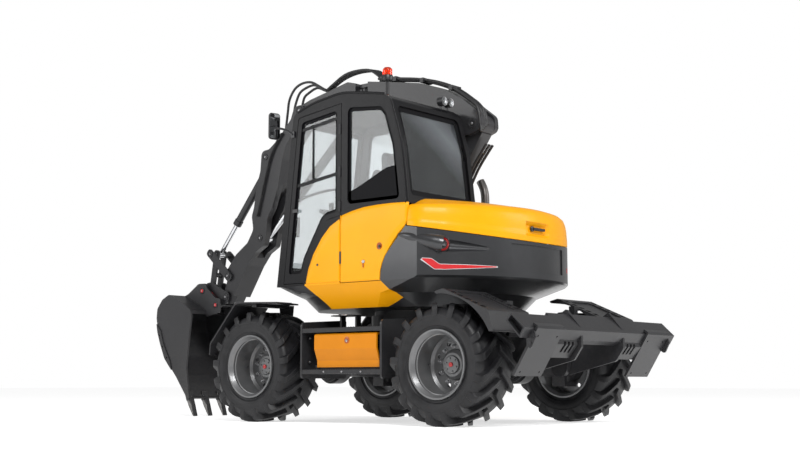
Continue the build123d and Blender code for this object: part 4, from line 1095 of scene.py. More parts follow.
@dataclass(frozen=True)
class Tyre:
    """Road and field tyre with two staggered rows of slanted lugs.

    Args:
        lugs: Lugs in a row.
        slant: Slant of a lug in degrees.
        width: Width of a lug's top.
        foot: Extra width of a lug at its foot, each side.
        stagger: How far each row is turned from the middle, in steps between lugs.
        section: Right half of the carcass, bead to crown: rows of across and radius.
        stations: A lug from crown to side wall: across, radius of foot and top, share of width.
    """

    lugs: int = 17
    slant: float = 38.0
    width: float = 0.052
    foot: float = 0.009
    stagger: float = 0.25
    section: Rows = (
        (0.200, 0.2705), (0.209, 0.286), (0.213, 0.303), (0.217, 0.318), (0.223, 0.328),
        (0.229, 0.331), (0.230, 0.338), (0.236, 0.350), (0.240, 0.370), (0.241, 0.392),
        (0.240, 0.410), (0.2415, 0.414), (0.2405, 0.420), (0.236, 0.430), (0.228, 0.448),
        (0.214, 0.466), (0.190, 0.477), (0.120, 0.484), (0.0, 0.487),
    )
    stations: Rows = (
        (0.004, 0.474, 0.523, 1.0), (0.060, 0.474, 0.5245, 1.0), (0.130, 0.472, 0.525, 1.0),
        (0.196, 0.462, 0.523, 1.05), (0.226, 0.440, 0.514, 1.15), (0.2405, 0.420, 0.490, 1.2),
        (0.2425, 0.405, 0.440, 1.0),
    )

    def carcass(self, wheel: Wheel) -> Shell:
        """The section and its mirror image carried round the axis, closed under the beads.

        Args:
            wheel: The wheel that the tyre is on.

        Returns:
            The closed carcass.
        """
        right = np.asarray(self.section)
        return spun(np.concatenate([right, right[-2::-1] * (-1, 1)]), wheel.spot(), 112)

    def lug(self, wheel: Wheel, side: int, turn: float) -> Shell:
        """One lug: a bar that slants from the crown to the shoulder and runs down the side wall.

        At each station the bar has four corners, two at the foot in the carcass and two at its top;
        its middle turns round the axis by the tangent of the slant times the way across.

        Args:
            wheel: The wheel that the tyre is on.
            side: Which row the lug is in, 1 or -1.
            turn: Angle of its start on the crown.

        Returns:
            The closed bar.
        """
        across, low, high, share = np.asarray(self.stations).T
        middle = turn + across * math.tan(math.radians(self.slant)) / WHEEL_RADIUS
        top = self.width * share / 2 / WHEEL_RADIUS
        foot = top + self.foot / WHEEL_RADIUS
        angle = np.stack([middle - foot, middle - top, middle + top, middle + foot], 1)
        radius = np.stack([low, high, high, low], 1)
        y = np.broadcast_to(side * across[:, None], radius.shape)
        points = np.stack([radius * np.cos(angle), y, radius * np.sin(angle)], -1)
        return surface(points + np.asarray(wheel.spot()))

    def build(self, wheel: Wheel) -> None:
        """The whole tyre of one wheel in place of its plain solid.

        Args:
            wheel: The wheel that the tyre is on.
        """
        shell = self.carcass(wheel)
        for side in (-1, 1):
            for i in range(self.lugs):
                turn = 2 * math.pi / self.lugs * (i + side * self.stagger)
                shell.join(self.lug(wheel, side, turn))
        rubber = wheel.rubber(wheel.label, TREAD_RUBBER, 0.0004)
        body = "wheel_" + wheel.label
        tyre = piece("tread_" + wheel.label, shell, rubber, body, Edge.SOFT, 42.0)
        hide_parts("tyre_" + wheel.label)


@dataclass(frozen=True)
class RimTrim:
    """Wheel nuts, hub cap with its red dot, edge rib painted lighter as a highlight, and valve of
    one rim.

    Args:
        disc: Face of the disc from the middle of the wheel, outwards.
        dome: Foot of the hub cap, likewise.
        nuts: Number of wheel nuts, and the radius that they stand on.
        screws: Number of the hub cap's screws, and their radius.
        nut: Washer, nut and end of the stud, each with its number of sides.
        cap: The hub cap's profile.
        screw: Profile of one of its screws.
        dot: Profile of the dot in its middle.
        rib: Section of the rib: rows of across and radius.
        stem: Stops of the valve: ahead of the axis and outwards.
    """

    disc: float = -0.044
    dome: float = 0.002
    nuts: tuple[int, float] = (10, 0.162)
    screws: tuple[int, float] = (6, 0.056)
    nut: tuple[tuple[Rows, int], ...] = (
        (((-0.002, 0.021), (0.004, 0.021)), 18),
        (((0.0, 0.0165), (0.020, 0.0165), (0.024, 0.013)), 6),
        (((0.020, 0.008), (0.036, 0.008), (0.038, 0.006)), 10),
    )
    cap: Rows = ((-0.012, 0.078), (0.010, 0.078), (0.016, 0.072), (0.018, 0.030), (0.018, 0.0))
    screw: Rows = ((0.010, 0.0075), (0.025, 0.0075))
    dot: Rows = ((0.012, 0.020), (0.026, 0.020), (0.030, 0.015), (0.031, 0.0))
    rib: Rows = ((0.156, 0.259424), (0.162, 0.253616), (0.172, 0.253616), (0.174, 0.259424))
    stem: Rows = ((0.246, 0.020), (0.222, 0.032), (0.206, 0.062))

    def build(self, wheel: Wheel) -> None:
        """Everything that is fixed to one rim.

        Args:
            wheel: The rim's wheel.
        """
        body = "wheel_" + wheel.label
        count, radius = self.nuts
        feet = [wheel.spot(x, self.disc, z) for x, z in ring(radius, count, 0.2)]
        piece("wheel_nuts_" + wheel.label, repeated(self.nut, feet, wheel.out), ZINC, body)
        foot = wheel.spot(0.0, self.dome)
        cap = turned(self.cap, foot, wheel.out, 40)
        count, radius = self.screws
        feet = [wheel.spot(x, self.dome, z) for x, z in ring(radius, count, 0.3)]
        cap.join(repeated(((self.screw, 6),), feet, wheel.out))
        piece("hub_cap_" + wheel.label, cap, RIM_PAINT, body, Edge.FINE)
        piece("hub_dot_" + wheel.label, turned(self.dot, foot, wheel.out), RED_PAINT, body)
        rib = spun(np.asarray(self.rib) * (wheel.side, 1), wheel.spot(), 72)
        # The rib is painted lighter than the rim: a painted highlight on its lip
        piece("rim_rib_" + wheel.label, rib, RIM_HIGHLIGHT, body)
        stem = tube([wheel.spot(x, y) for x, y in self.stem], 0.0055, samples=4)
        piece("valve_" + wheel.label, stem, HOSE, body)


@dataclass(frozen=True)
class ToolBox:
    """Tread rails, step, latch and ring at one side step.

    Args:
        side: 1 on the left, -1 on the right.
        out: Distance of the rails' outer edge from the middle.
        low: Top of the lower rail.
        high: Top of the upper rail.
        step: Distance of the small step's middle from the machine's middle.
        step_top: Height of its tread.
        pitch: Distance from one tooth or stud to the next along the machine.
    """

    side: int
    out: float = 1.168
    low: float = 0.488
    high: float = 0.865
    step: float = 0.80
    step_top: float = 0.992
    pitch: float = 0.0292

    def name(self, start: str) -> str:
        """Name of a piece or body with its side."""
        return start + ("_left" if self.side > 0 else "_right")

    def cleats(self) -> Shell:
        """Rows of small raised teeth along both rails.

        Returns:
            All the teeth as one shell.
        """
        tooth = ((-0.001, 0.0095), (0.005, 0.0085), (0.006, 0.006))
        feet = [at(-0.470 + i * self.pitch, self.side * (self.out - inward), top)
                for top in (self.low, self.high) for i in range(33)
                for inward in (0.012, 0.066, 0.120)]
        return repeated(((tooth, 8),), feet, UP)

    def studs(self) -> Shell:
        """Studs on the step, every second row set off.

        Returns:
            All the studs as one shell.
        """
        stud = ((-0.001, 0.009), (0.005, 0.007), (0.006, 0.0045))
        start = self.side * self.step - 0.022
        feet = [at(0.103 + i * self.pitch, start + j * 0.0262 + 0.008 * (i % 2), self.step_top)
                for i in range(8) for j in range(6)]
        return repeated(((stud, 8),), feet, UP)

    def stand(self) -> None:
        """The small step over the frame: two legs, an oval tread and its studs."""
        base = self.side * self.step
        legs = Shell()
        for x in (0.11, 0.30):
            legs.join(slab(x - 0.012, x + 0.012, base - 0.03, base + 0.03, 0.842, 0.986))
        piece(self.name("step_legs"), legs, DARK_PAINT, "chassis", Edge.FINE)
        rows = oblong((0.075, base - 0.05), (0.335, base + 0.16), (0.05,) * 4)
        tread = plate(rounded(rows), Facing.TOP, self.step_top - 0.008, self.step_top)
        piece(self.name("step_tread"), tread, DARK_PAINT, "chassis", Edge.FINE)
        piece(self.name("step_studs"), self.studs(), ZINC, "chassis")

    def bolts(self) -> Shell:
        """Bolts on both ends of the box and along the lower rail.

        Returns:
            All the bolts as one shell.
        """
        shell = Shell()
        for end in (-1.0, 1.0):
            for z in (0.56, 0.78):
                foot = at(end * 0.455, self.side * 1.085, z)
                shell.join(bolt(foot, (-end, 0.0, 0.0), 0.016, 0.010))
        for x in (-0.25, -0.02, 0.2):
            foot = at(x, self.side * self.out, self.low - 0.019)
            shell.join(bolt(foot, (0.0, float(self.side), 0.0), 0.012, 0.008))
        return shell

    def build(self) -> None:
        """All the trim of one side step."""
        piece(self.name("rail_cleats"), self.cleats(), DARK_PAINT, "chassis")
        self.stand()
        out, face, lid = (0.0, float(self.side), 0.0), self.side * 1.162, self.name("box_lid")
        rows = ((-0.002, 0.030), (0.003, 0.030), (0.004, 0.024))
        dish = Fitting(self.name("latch_dish"), rows, (-0.077, face, 0.751), out, 32, RED_DISH, lid)
        dish.build()
        rows = ((0.003, 0.013), (0.009, 0.013), (0.012, 0.009))
        knob = Fitting(self.name("latch_knob"), rows, (-0.077, face, 0.747), out, 20, CHROME, lid)
        knob.build()
        piece(self.name("step_bolts"), self.bolts(), ZINC, "chassis")
        loop = ((0.10, 0.945), (0.102, 0.975), (0.13, 0.988), (0.158, 0.975), (0.16, 0.945))
        stops = [at(x, self.side * y, self.step_top - 0.003) for x, y in loop]
        piece(self.name("step_ring"), tube(stops, 0.006, samples=5), ZINC, "chassis")


@dataclass(frozen=True)
class WeightTrim:
    """Lamp horn with its lamp, stripe and reflector on the tail weight.

    Args:
        horn: Line and radius of the horn from its tip: x from the slewing axis, y, z, radius.
        mouth: Middle of the horn's mouth, x from the slewing axis.
        back: Direction that the mouth faces.
        lamp: Name, profile, sides and finish of the lamp's parts.
        strips: Name, lower and upper edge, height over the skin and finish of each flat strip; the
            edges are rows of angle in degrees from ahead, and height.
    """

    horn: Rows = (
        (-0.600, 1.108, 1.676, 0.010), (-0.700, 1.110, 1.658, 0.030), (-0.790, 1.100, 1.638, 0.045),
        (-0.870, 1.072, 1.614, 0.058), (-0.945, 1.030, 1.592, 0.070), (-1.000, 0.992, 1.576, 0.077),
        (-1.022, 0.974, 1.570, 0.078),
    )
    mouth: Place = (-1.030, 0.985, 1.569)
    back: Place = (-0.86, 0.46, -0.20)
    lamp: tuple[tuple[str, Rows, int, Finish], ...] = (
        ("lamp_bezel",
         ((-0.030, 0.066), (0.008, 0.069), (0.012, 0.064), (0.006, 0.058), (0.006, 0.0)),
         40, LAMP_BLACK),
        ("lamp_halo",
         ((0.004, 0.057), (0.015, 0.056), (0.017, 0.050), (0.014, 0.042), (0.004, 0.041)),
         40, RED_LENS),
        ("lamp_heart",
         ((0.004, 0.030), (0.013, 0.028), (0.017, 0.017), (0.018, 0.0)), 32, WHITE_LENS),
    )
    strips: tuple[tuple[str, Rows, Rows, float, Finish], ...] = (
        ("weight_stripe",
         ((129.0, 1.437), (133.4, 1.353), (137.0, 1.351), (146.0, 1.362), (156.6, 1.378)),
         ((129.2, 1.445), (132.4, 1.441), (135.3, 1.392), (146.0, 1.389), (156.6, 1.385)),
         0.0015, RED_PAINT),
        ("weight_stripe_edge",
         ((128.5, 1.432), (133.4, 1.348), (137.0, 1.346), (146.0, 1.357), (157.1, 1.375)),
         ((129.2, 1.450), (132.4, 1.446), (135.3, 1.397), (146.0, 1.394), (157.1, 1.388)),
         0.0006, PALE),
        ("reflector_right",
         ((-153.0, 1.405), (-153.9, 1.405)), ((-153.0, 1.449), (-153.9, 1.449)), 0.003, RED_LENS),
    )

    def strip(self, low: Rows, high: Rows, lift: float) -> Shell:
        """A thin sheet on the round skin between two edges, closed at its back inside the skin.

        Args:
            low: Lower edge, rows of angle in degrees from ahead and height.
            high: Upper edge, likewise.
            lift: How far its face stands off the skin.

        Returns:
            The closed sheet.
        """
        below, above = read_off(low, 40), read_off(high, 40)
        edge = np.stack([below, above, above, below], 1)
        out = TAIL_RADIUS + np.array([lift, lift, -0.004, -0.004])
        angle = np.radians(edge[..., 0])
        points = [SLEW_X + out * np.cos(angle), out * np.sin(angle), edge[..., 1]]
        return surface(np.stack(points, -1))

    def swell(self) -> Shell:
        """The horn: circles across a bent line, whose radii grow from its tip to its mouth.

        Returns:
            The closed horn.
        """
        table = np.asarray(self.horn)
        line = smooth_path(table[:, :3], 5)
        radius = read_off(table[:, 3:], len(line))
        return surface(swept(line + (SLEW_X, 0.0, 0.0), ring(1.0, 36), UP, radius))

    def build(self) -> None:
        """All trim of the weight."""
        piece("lamp_horn", self.swell(), WEIGHT_PAINT, "turret", angle=60.0)
        for name, rows, sides, finish in self.lamp:
            Fitting(name, rows, self.mouth, self.back, sides, finish, "turret").build()
        for name, low, high, lift, finish in self.strips:
            piece(name, self.strip(low, high, lift), finish, "turret")


@dataclass(frozen=True)
class PanelTrim:
    """Skins of the left panels and the hood, with their fittings, and the exhaust stack.

    Args:
        face: Distance of the left panels' face from the middle.
        crest: Upper edge of the left skins: x from the slewing axis, and height.
        rear: Lower edge of the door's skin, along the weight.
        pipe: Middle line of the stack: x from the slewing axis, and height.
        pipe_y: Where the stack stands.
        wall: Hood from seam to shoulder: way inwards, and share of the height.
        seam: Height of its lower edge at the tail and at its front.
        shoulder: Radius of its plan at the corners.
        top: Height of the shoulder's top: distances from the middle, and heights.
        crown: Height of the hood's middle, and fall of its front edge to the side.
        pocket: Middle of the latch's pocket, half of its width, low and high end, and depth.
        gauge: Thickness of the hood's sheet.
    """

    face: float = SIDE_Y
    crest: Rows = (
        (-0.750, 1.951), (-0.555, 1.958), (-0.400, 1.958), (-0.240, 1.950), (-0.100, 1.928),
        (0.044, 1.893), (0.168, 1.830), (0.272, 1.729), (0.377, 1.581), (0.440, 1.444),
        (0.472, 1.312), (0.476, 1.284),
    )
    rear: Rows = (
        (-0.750, 1.790), (-0.728, 1.744), (-0.660, 1.688), (-0.594, 1.620), (-0.545, 1.560),
        (-0.498, 1.492), (-0.462, 1.420), (-0.442, 1.350), (-0.436, 1.276),
    )
    pipe: Rows = (
        (-0.200, 1.985), (-0.200, 2.150), (-0.198, 2.260), (-0.184, 2.330), (-0.160, 2.385),
        (-0.140, 2.420),
    )
    pipe_y: float = -0.800
    wall: Rows = (
        (0.006, 0.0), (0.0, 0.012), (0.0, 0.15), (0.001, 0.24), (0.002, 0.245), (0.004, 0.34),
        (0.006, 0.46), (0.009, 0.56), (0.0095, 0.575), (0.018, 0.72), (0.034, 0.85), (0.062, 0.93),
        (0.105, 0.975), (0.17, 1.0),
    )
    seam: tuple[float, float] = (1.629, 1.742)
    shoulder: float = 0.24
    top: Rows = ((0.0, 0.5, 0.9, 1.13), (1.958, 1.956, 1.950, 1.940))
    crown: tuple[float, float] = (2.030, 0.045)
    pocket: tuple[float, ...] = (0.057, 0.172, 1.7075, 1.812, 0.038)
    gauge: float = 0.014

    def stack(self) -> None:
        """Exhaust stack: a smooth bent tube, open at its mouth, with a clamp at its foot."""
        path = smooth_path([at(x, self.pipe_y, z) for x, z in self.pipe])
        outer, inner = (swept(path, ring(r, 28)[:, ::-1], LEFT) for r in (0.042, 0.036))
        shell = surface(np.concatenate([outer, inner[::-1]]), Closing.RING)
        shell.join(turned(((0.0, 0.050), (0.030, 0.050)), at(-0.200, self.pipe_y, 2.010), UP, 28))
        stack = piece("exhaust_stack", shell, TUBE_STEEL, "turret")
        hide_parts("exhaust")

    def skin(self, x: Array, low: Array) -> Shell:
        """A pressed panel under the crest line.

        Columns stand at the given places; each runs from its low end to the crest.  The face leans
        out to a crease 0.11 below the crest and in again above it, and turns in at both ends.

        Args:
            x: Places of the columns, from the slewing axis.
            low: Low end of each column.

        Returns:
            The closed panel.
        """
        high = np.interp(x, *np.transpose(self.crest))
        share = (0.0, 0.012, 0.03, 0.25, 0.45, 0.58, 0.66, 0.72, 0.78, 0.86, 0.94, 0.98, 1.0)
        z = low[:, None] + (high - low)[:, None] * share
        lean = np.interp(high[:, None] - z, (0.0, 0.006, 0.020, 0.085, 0.125, 0.30),
                         (-0.012, -0.002, 0.001, 0.0105, 0.0115, 0.0075))
        foot = np.interp(z - low[:, None], (0.0, 0.006), (-0.006, 0.0))
        ends = np.interp(np.minimum(x - x.min(), x.max() - x), (0.0, 0.006), (-0.006, 0.0))
        y = self.face + lean + foot + ends[:, None]
        front = np.stack([np.broadcast_to(SLEW_X + x[:, None], z.shape), y, z], -1)
        back = front.copy()
        back[..., 1] = self.face - 0.028
        return sheet(front, back)

    def skins(self) -> None:
        """Door and front panel of the left side, with a black edge behind the front one."""
        knots = np.asarray(self.rear)
        even = np.linspace(-0.750, 0.034, 48)
        x = np.unique(np.concatenate([even, knots[:, 0], [-0.744, 0.028]]))
        low = np.interp(x, *knots.T)
        door = piece("door_skin", self.skin(x, low), YELLOW, "service_door", angle=50.0)
        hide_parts("service_door")
        x = np.unique(np.concatenate([np.linspace(0.044, 0.476, 40), [0.050, 0.470]]))
        front = self.skin(x, np.full(len(x), 1.283))
        piece("front_skin", front, YELLOW, "turret", angle=50.0)
        rows = ((0.045, 1.284), (0.489, 1.284), (0.449, 1.503, 0.2), (0.229, 1.859, 0.12),
                (0.045, 1.889))
        edge = plate(rounded(rows), Facing.SIDE, self.face - 0.004, self.face + 0.0025)
        piece("front_skin_edge", edge, CAB_PAINT, "turret")

    def outline(self, corner: float) -> Array:
        """Plan of the hood from its left front corner round the tail to its right one.

        Args:
            corner: Radius of the curve between the flat side and the round tail.

        Returns:
            Rows of x, from the slewing axis, and y.
        """
        meet = math.atan2(self.face, -math.sqrt(TAIL_RADIUS**2 - self.face**2))
        turn = np.linspace(meet, 2 * math.pi - meet, 61)
        tail = TAIL_RADIUS * np.stack([np.cos(turn), np.sin(turn)], -1)
        first, last = (*tail[0], corner), (*tail[-1], corner)
        rows = [(HOOD_FRONT, self.face), first, *tail[6:-6], last, (HOOD_FRONT, -self.face)]
        made = rounded(rows, 8)
        step = np.linalg.norm(np.diff(made, axis=0), axis=1)
        far = np.concatenate([[0.0], np.cumsum(step)])
        even = np.linspace(0, far[-1], 97)
        return np.stack([np.interp(even, far, column) for column in made.T], -1)

    def hood_skin(self) -> Shell:
        """Crowned sheet of the engine hood with a rounded shoulder and a pocket for its latch.

        Each station of the plan is joined to a point of the front edge; along that line the hood
        first rises, then rounds over the shoulder and climbs to the crown.

        Returns:
            The closed sheet.
        """
        plain, soft = self.outline(0.0), self.outline(self.shoulder)
        anchor = np.stack([np.full(len(soft), HOOD_FRONT), soft[:, 1] * 0.74], -1)
        seam = np.interp(plain[:, 0], (-TAIL_RADIUS, HOOD_FRONT), self.seam)
        top = np.interp(np.abs(soft[:, 1]), *self.top)
        near = np.minimum(1, np.linalg.norm(anchor - soft, axis=1) / 0.5)[:, None]
        rows = []
        for inward, share in self.wall:
            z = seam + (top - seam) * share
            blend = np.clip((z - seam) / 0.10, 0, 1)[:, None]
            base = plain * (1 - blend) + soft * blend
            way = anchor - base
            way = way / np.maximum(np.linalg.norm(way, axis=1, keepdims=True), 1e-6)
            flat = base + way * inward * near
            rows.append(np.stack([SLEW_X + flat[:, 0], flat[:, 1], z], -1))
        crown = self.crown[0] - self.crown[1] * (anchor[:, 1] / self.face) ** 2
        edge, peak = rows[-1], np.stack([SLEW_X + anchor[:, 0], anchor[:, 1], crown], -1)
        for share in (0.12, 0.3, 0.5, 0.75, 1.0):
            point = edge * (1 - share) + peak * share
            point[:, 2] = edge[:, 2] + (crown - edge[:, 2]) * math.sin(share * math.pi / 2)
            rows.append(point)
        outer = np.stack(rows, 1)
        x, y, z = (outer[..., i] for i in range(3))
        middle, half, low, high, deep = self.pocket
        sunk = (np.abs(y - middle) < half) & (z > low) & (z < high) & (x < SLEW_X - 1.2)
        x += np.where(sunk, deep, 0.0)
        inner = outer + unit(np.asarray(at(-0.85, 0.0, 1.70)) - outer) * self.gauge
        inner[..., 0] = np.minimum(inner[..., 0], SLEW_X + HOOD_FRONT)
        return sheet(outer, inner)

    def hood(self) -> None:
        """The hood's skin with the lugs of its two hinges."""
        shell = self.hood_skin()
        for y in (-0.060, -0.300):
            for low, high in ((y - 0.024, y - 0.0153), (y + 0.0153, y + 0.024)):
                shell.join(slab(-0.790, -0.731, low, high, 2.010, 2.040))
        skin = piece("hood_skin", shell, YELLOW, "hood", angle=42.0)
        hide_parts("hood")

    def fittings(self) -> None:
        """Filler cap, door lock, socket and the strip along the door's hinge."""
        door, proud = "service_door", self.face + 0.009
        cap = ((-0.002, 0.031), (0.0025, 0.031), (0.0005, 0.0248), (0.0005, 0.0))
        knob = ((0.0, 0.01302), (0.010, 0.01302), (0.013, 0.0093))
        lock = ((-0.001, 0.017), (0.008, 0.016), (0.012, 0.012))
        hole = ((-0.002, 0.012), (0.0015, 0.012), (0.001, 0.009))
        for name, rows, foot, sides, finish, body, edge in (
            ("filler_cap_dish", cap, (-0.439, proud, 1.579), 32, RED_DISH, door, Edge.SHARP),
            ("filler_cap_knob", knob, (-0.443, proud, 1.575), 20, LAMP_BLACK, door, Edge.FINE),
            ("door_lock", lock, (-0.251, proud - 0.002, 1.450), 24, ZINC, door, Edge.SHARP),
        ):
            Fitting(name, rows, foot, LEFT, sides, finish, body, edge).build()
        rows = ((-0.256, 1.442), (-0.246, 1.442), (-0.2475, 1.398), (-0.2545, 1.398))
        slot = plate(rows, Facing.SIDE, self.face + 0.002, self.face + 0.0175)
        piece("door_lock_slot", slot, RED_DISH, door)
        foot = (0.316, proud, 1.453)
        Fitting("step_socket", hole, foot, LEFT, 24, LAMP_BLACK, "turret").build()
        rows = oblong((0.022, 1.445), (0.040, 1.560), (0.008,) * 4)
        strip = plate(rounded(rows), Facing.SIDE, self.face - 0.002, self.face + 0.013)
        piece("door_seam_hinge", strip, LAMP_BLACK, "turret", Edge.FINE)

    def latch(self) -> None:
        """The hood's latch: a turned boss and the bar of its handle, in the pocket."""
        rows = ((0.0, 0.026), (0.012, 0.026), (0.016, 0.020))
        boss = turned(rows, at(-1.382, 0.125, 1.752), BACK, 28)
        boss.join(slab(-1.408, -1.384, -0.060, 0.118, 1.740, 1.764))
        piece("hood_latch", boss, LAMP_BLACK, "hood", Edge.FINE)

    def build(self) -> None:
        """All the trim of the left panels and the hood, and the exhaust."""
        self.stack()
        self.skins()
        self.hood()
        self.fittings()
        self.latch()


@dataclass(frozen=True)
class CabTrim:
    """Black glass borders, dark film with a painted reflection, bars, rails, lamps and mirror of
    the cab.

    Args:
        face: Distance of the outer face of the left panes from the middle.
        left: Left face of the cab.
        right: Right face of the cab.
        front_pane: Outer face of the front pane: height, and x from the slewing axis.
        rear_pane: Outer face of the rear pane, likewise.
        door: Outline of the door's pane.
        quarter: Outline of the pane behind it.
        sweep: Black field under the swept lower edge of that pane.
        bars: Upper and lower frame of the door's sliding panes, and the bar between them.
    """

    face: float = 1.102
    left: float = 1.120
    right: float = 0.100
    front_pane: Rows = ((1.320, 0.834), (2.900, 0.640))
    rear_pane: Rows = ((1.98, -0.724), (2.495, -0.657), (2.885, -0.548))
    door: Rows = (
        (0.096, 1.935, 0.04), (0.262, 1.905, 0.12), (0.498, 1.520, 0.2), (0.540, 1.385, 0.05),
        (0.706, 1.385, 0.03), (0.546, 2.822, 0.04), (0.096, 2.882, 0.04),
    )
    quarter: Rows = (
        (-0.036, 1.990, 0.05), (-0.036, 2.892, 0.05), (-0.440, 2.850, 0.04), (-0.500, 2.780, 0.06),
        (-0.596, 2.490, 0.2), (-0.655, 1.990, 0.04),
    )
    sweep: Rows = (
        (-0.036, 1.990), (-0.036, 2.104), (-0.120, 2.128), (-0.308, 2.207), (-0.430, 2.262),
        (-0.498, 2.287), (-0.610, 2.300), (-0.652, 1.992),
    )
    bars: tuple[Rows, ...] = (
        ((0.098, 2.828), (0.098, 2.798), (0.565, 2.734), (0.562, 2.762)),
        ((0.098, 2.306), (0.098, 2.276), (0.616, 2.206), (0.613, 2.236)),
        ((0.402, 2.788), (0.418, 2.785), (0.418, 2.232), (0.402, 2.234)),
    )

    def borders(self) -> None:
        """Black printed borders on all panes."""
        low, high = self.face + 0.0002, self.face + 0.0022
        edge = band(self.door, 0.030, Facing.SIDE, low, high)
        piece("door_glass_border", edge, GLOSS_BLACK, "cab_door")
        edge = band(self.quarter, 0.034, Facing.SIDE, low, high)
        edge.join(plate(self.sweep, Facing.SIDE, low, high))
        piece("quarter_glass_border", edge, GLOSS_BLACK, "turret")
        radii = (0.04, 0.04, 0.06, 0.06)
        front = oblong((self.right + 0.055, 1.42), (self.left - 0.055, 2.85), radii)
        self.leaning("front_glass_border", front, self.front_pane, 0.0015, 0.045)
        rear = oblong((self.right + 0.06, 2.02), (self.left - 0.06, 2.85), radii)
        self.leaning("rear_glass_border", rear, self.rear_pane, -0.0015, 0.05)

    def leaning(self, name: str, rows: Rows, pane: Rows, lift: float, width: float) -> None:
        """A border on a leaning pane: y and z from the outline, x from the pane's line at that z.

        Args:
            name: Name of the piece.
            rows: Corners of the outline.
            pane: Outer face of the pane: height, and x from the slewing axis.
            lift: How far the border stands before and behind the face.
            width: Width of the border.
        """
        outer = rounded(rows, 8)
        spans = [np.linspace(a, b, 5)[:-1] for a, b in zip(outer, np.roll(outer, -1, 0))]
        outer = np.concatenate(spans)
        inner = inset(outer, width)
        loops = []
        for flat, reach in ((outer, -lift), (outer, lift), (inner, lift), (inner, -lift)):
            x = SLEW_X + np.interp(flat[:, 1], *np.transpose(pane)) + reach
            loops.append(np.column_stack([x, flat]))
        piece(name, surface(np.stack(loops), Closing.RING), GLOSS_BLACK, "turret")

    def film(self) -> None:
        """Dark film on the inside of the rear pane, from post to post, with a painted reflection of
        a lamp.
        """
        z = np.array([[1.99], [2.24], [2.495], [2.69], [2.875]])
        x, y, z = np.broadcast_arrays(SLEW_X + np.interp(z, *np.transpose(self.rear_pane)),
                                      (self.right + 0.055, self.left - 0.055), z)
        front, back = (np.stack([x + depth, y, z], -1) for depth in (0.010, 0.013))
        piece("rear_glass_film_painted_reflection", sheet(front, back), FILM_WITH_REFLECTION, "turret")

    def door_parts(self) -> None:
        """Frames of the door's sliding panes, its catch, grab bar and handle."""
        shell = Shell()
        for rows in self.bars:
            shell.join(plate(rows, Facing.SIDE, self.face - 0.004, self.face + 0.010))
        piece("door_bars", shell, CAB_PAINT, "cab_door", Edge.FINE)
        rows = ((0.640, 1.740, 0.01), (0.700, 1.740, 0.01), (0.690, 1.930, 0.01),
                (0.632, 1.930, 0.01))
        catch = plate(rounded(rows), Facing.SIDE, self.face - 0.06, self.face - 0.012)
        piece("door_catch", catch, LAMP_BLACK, "cab_door", Edge.FINE)
        stops = ((0.62, 0.03, 2.09), (0.50, 0.075, 2.135), (0.30, 0.09, 2.160), (0.11, 0.04, 2.150))
        rail = tube([at(x, self.face - inward, z) for x, inward, z in stops], 0.013)
        piece("door_grab_bar", rail, LAMP_BLACK, "cab_door")
        handle = slab(0.585, 0.655, self.left - 0.004, self.left + 0.010, 1.965, 2.000)
        piece("door_handle", handle, LAMP_BLACK, "cab_door", Edge.SOFT)

    def rails(self) -> None:
        """Drip rail along the roof's left edge, rail down the rear post, and the door's hinges."""
        gutter = ((0.600, 2.930), (0.420, 2.985), (0.200, 3.022), (0.020, 3.036), (-0.240, 3.002),
                  (-0.470, 2.962))
        post = ((-0.555, 2.900), (-0.620, 2.700), (-0.676, 2.500), (-0.716, 2.220), (-0.742, 1.965))
        for name, stops, inward, radius in (
            ("roof_gutter", gutter, 0.004, 0.013), ("rear_post_rail", post, 0.006, 0.012)
        ):
            line = [at(x, self.left - inward, z) for x, z in stops]
            piece(name, tube(line, radius, LEFT, 12, 6), CAB_PAINT, "turret")
        feet = [at(0.054, self.left + 0.004, z) for z in (2.70, 2.30, 1.98)]
        hinges = repeated(((((-0.045, 0.011), (0.045, 0.011)), 16),), feet, UP)
        piece("door_hinges", hinges, LAMP_BLACK, "turret", Edge.FINE)

    def lights(self) -> None:
        """Reflectors and lenses of the work lamps at the rear of the roof, and the beacon."""
        dish = ((-0.001, 0.041), (0.004, 0.041), (0.002, 0.036), (-0.0005, 0.0))
        lens = ((0.0015, 0.036), (0.006, 0.030), (0.008, 0.0))
        for i, y in enumerate((0.24, 0.34)):
            foot = (-0.560, y, 3.010)
            Fitting(f"work_lamp_bezel_{i}", dish, foot, BACK, 32, ZINC, "turret").build()
            Fitting(f"work_lamp_lens_{i}", lens, foot, BACK, 32, WHITE_LENS, "turret").build()
        x, y = -0.330, 0.900
        base = turned(((0.0, 0.050), (0.030, 0.054), (0.052, 0.046)), at(x, y, 3.140), UP, 32)
        base.join(turned(((0.0, 0.017), (0.14, 0.017)), at(x, y, 3.005), UP, 16))
        piece("beacon_base", base, LAMP_BLACK, "turret")
        ribs = [(0.0, 0.0435)]
        for i in range(5):
            ribs += [(0.004 + i * 0.010, 0.0445), (0.008 + i * 0.010, 0.0430)]
        ribs += [(0.052, 0.0445), (0.062, 0.040), (0.071, 0.028), (0.073, 0.0)]
        Fitting("beacon_dome", ribs, (x, y, 3.190), UP, 40, BEACON_LENS, "turret").build()

    def mirrors(self) -> None:
        """Mirror on its bent arm: a rounded shell with the glass towards the driver."""
        turn = math.radians(166)
        out = np.array([math.cos(turn), math.sin(turn), 0.0])
        side = np.array([-math.sin(turn), math.cos(turn), 0.0])
        flat = rounded(oblong((-0.058, -0.125), (0.058, 0.125), (0.025,) * 4))

        def layers(steps: Rows) -> Shell:
            """Outlines of the mirror, one behind another.

            Args:
                steps: Rows of depth, share of the width and share of the height.

            Returns:
                The closed skin over them.
            """
            middle = np.asarray(at(0.850, 1.190, 2.815))
            across, upward = flat[:, :1] * side, flat[:, 1:] * np.asarray(UP)
            return surface(np.stack([middle + across * wide + upward * high + depth * out
                                     for depth, wide, high in steps]))

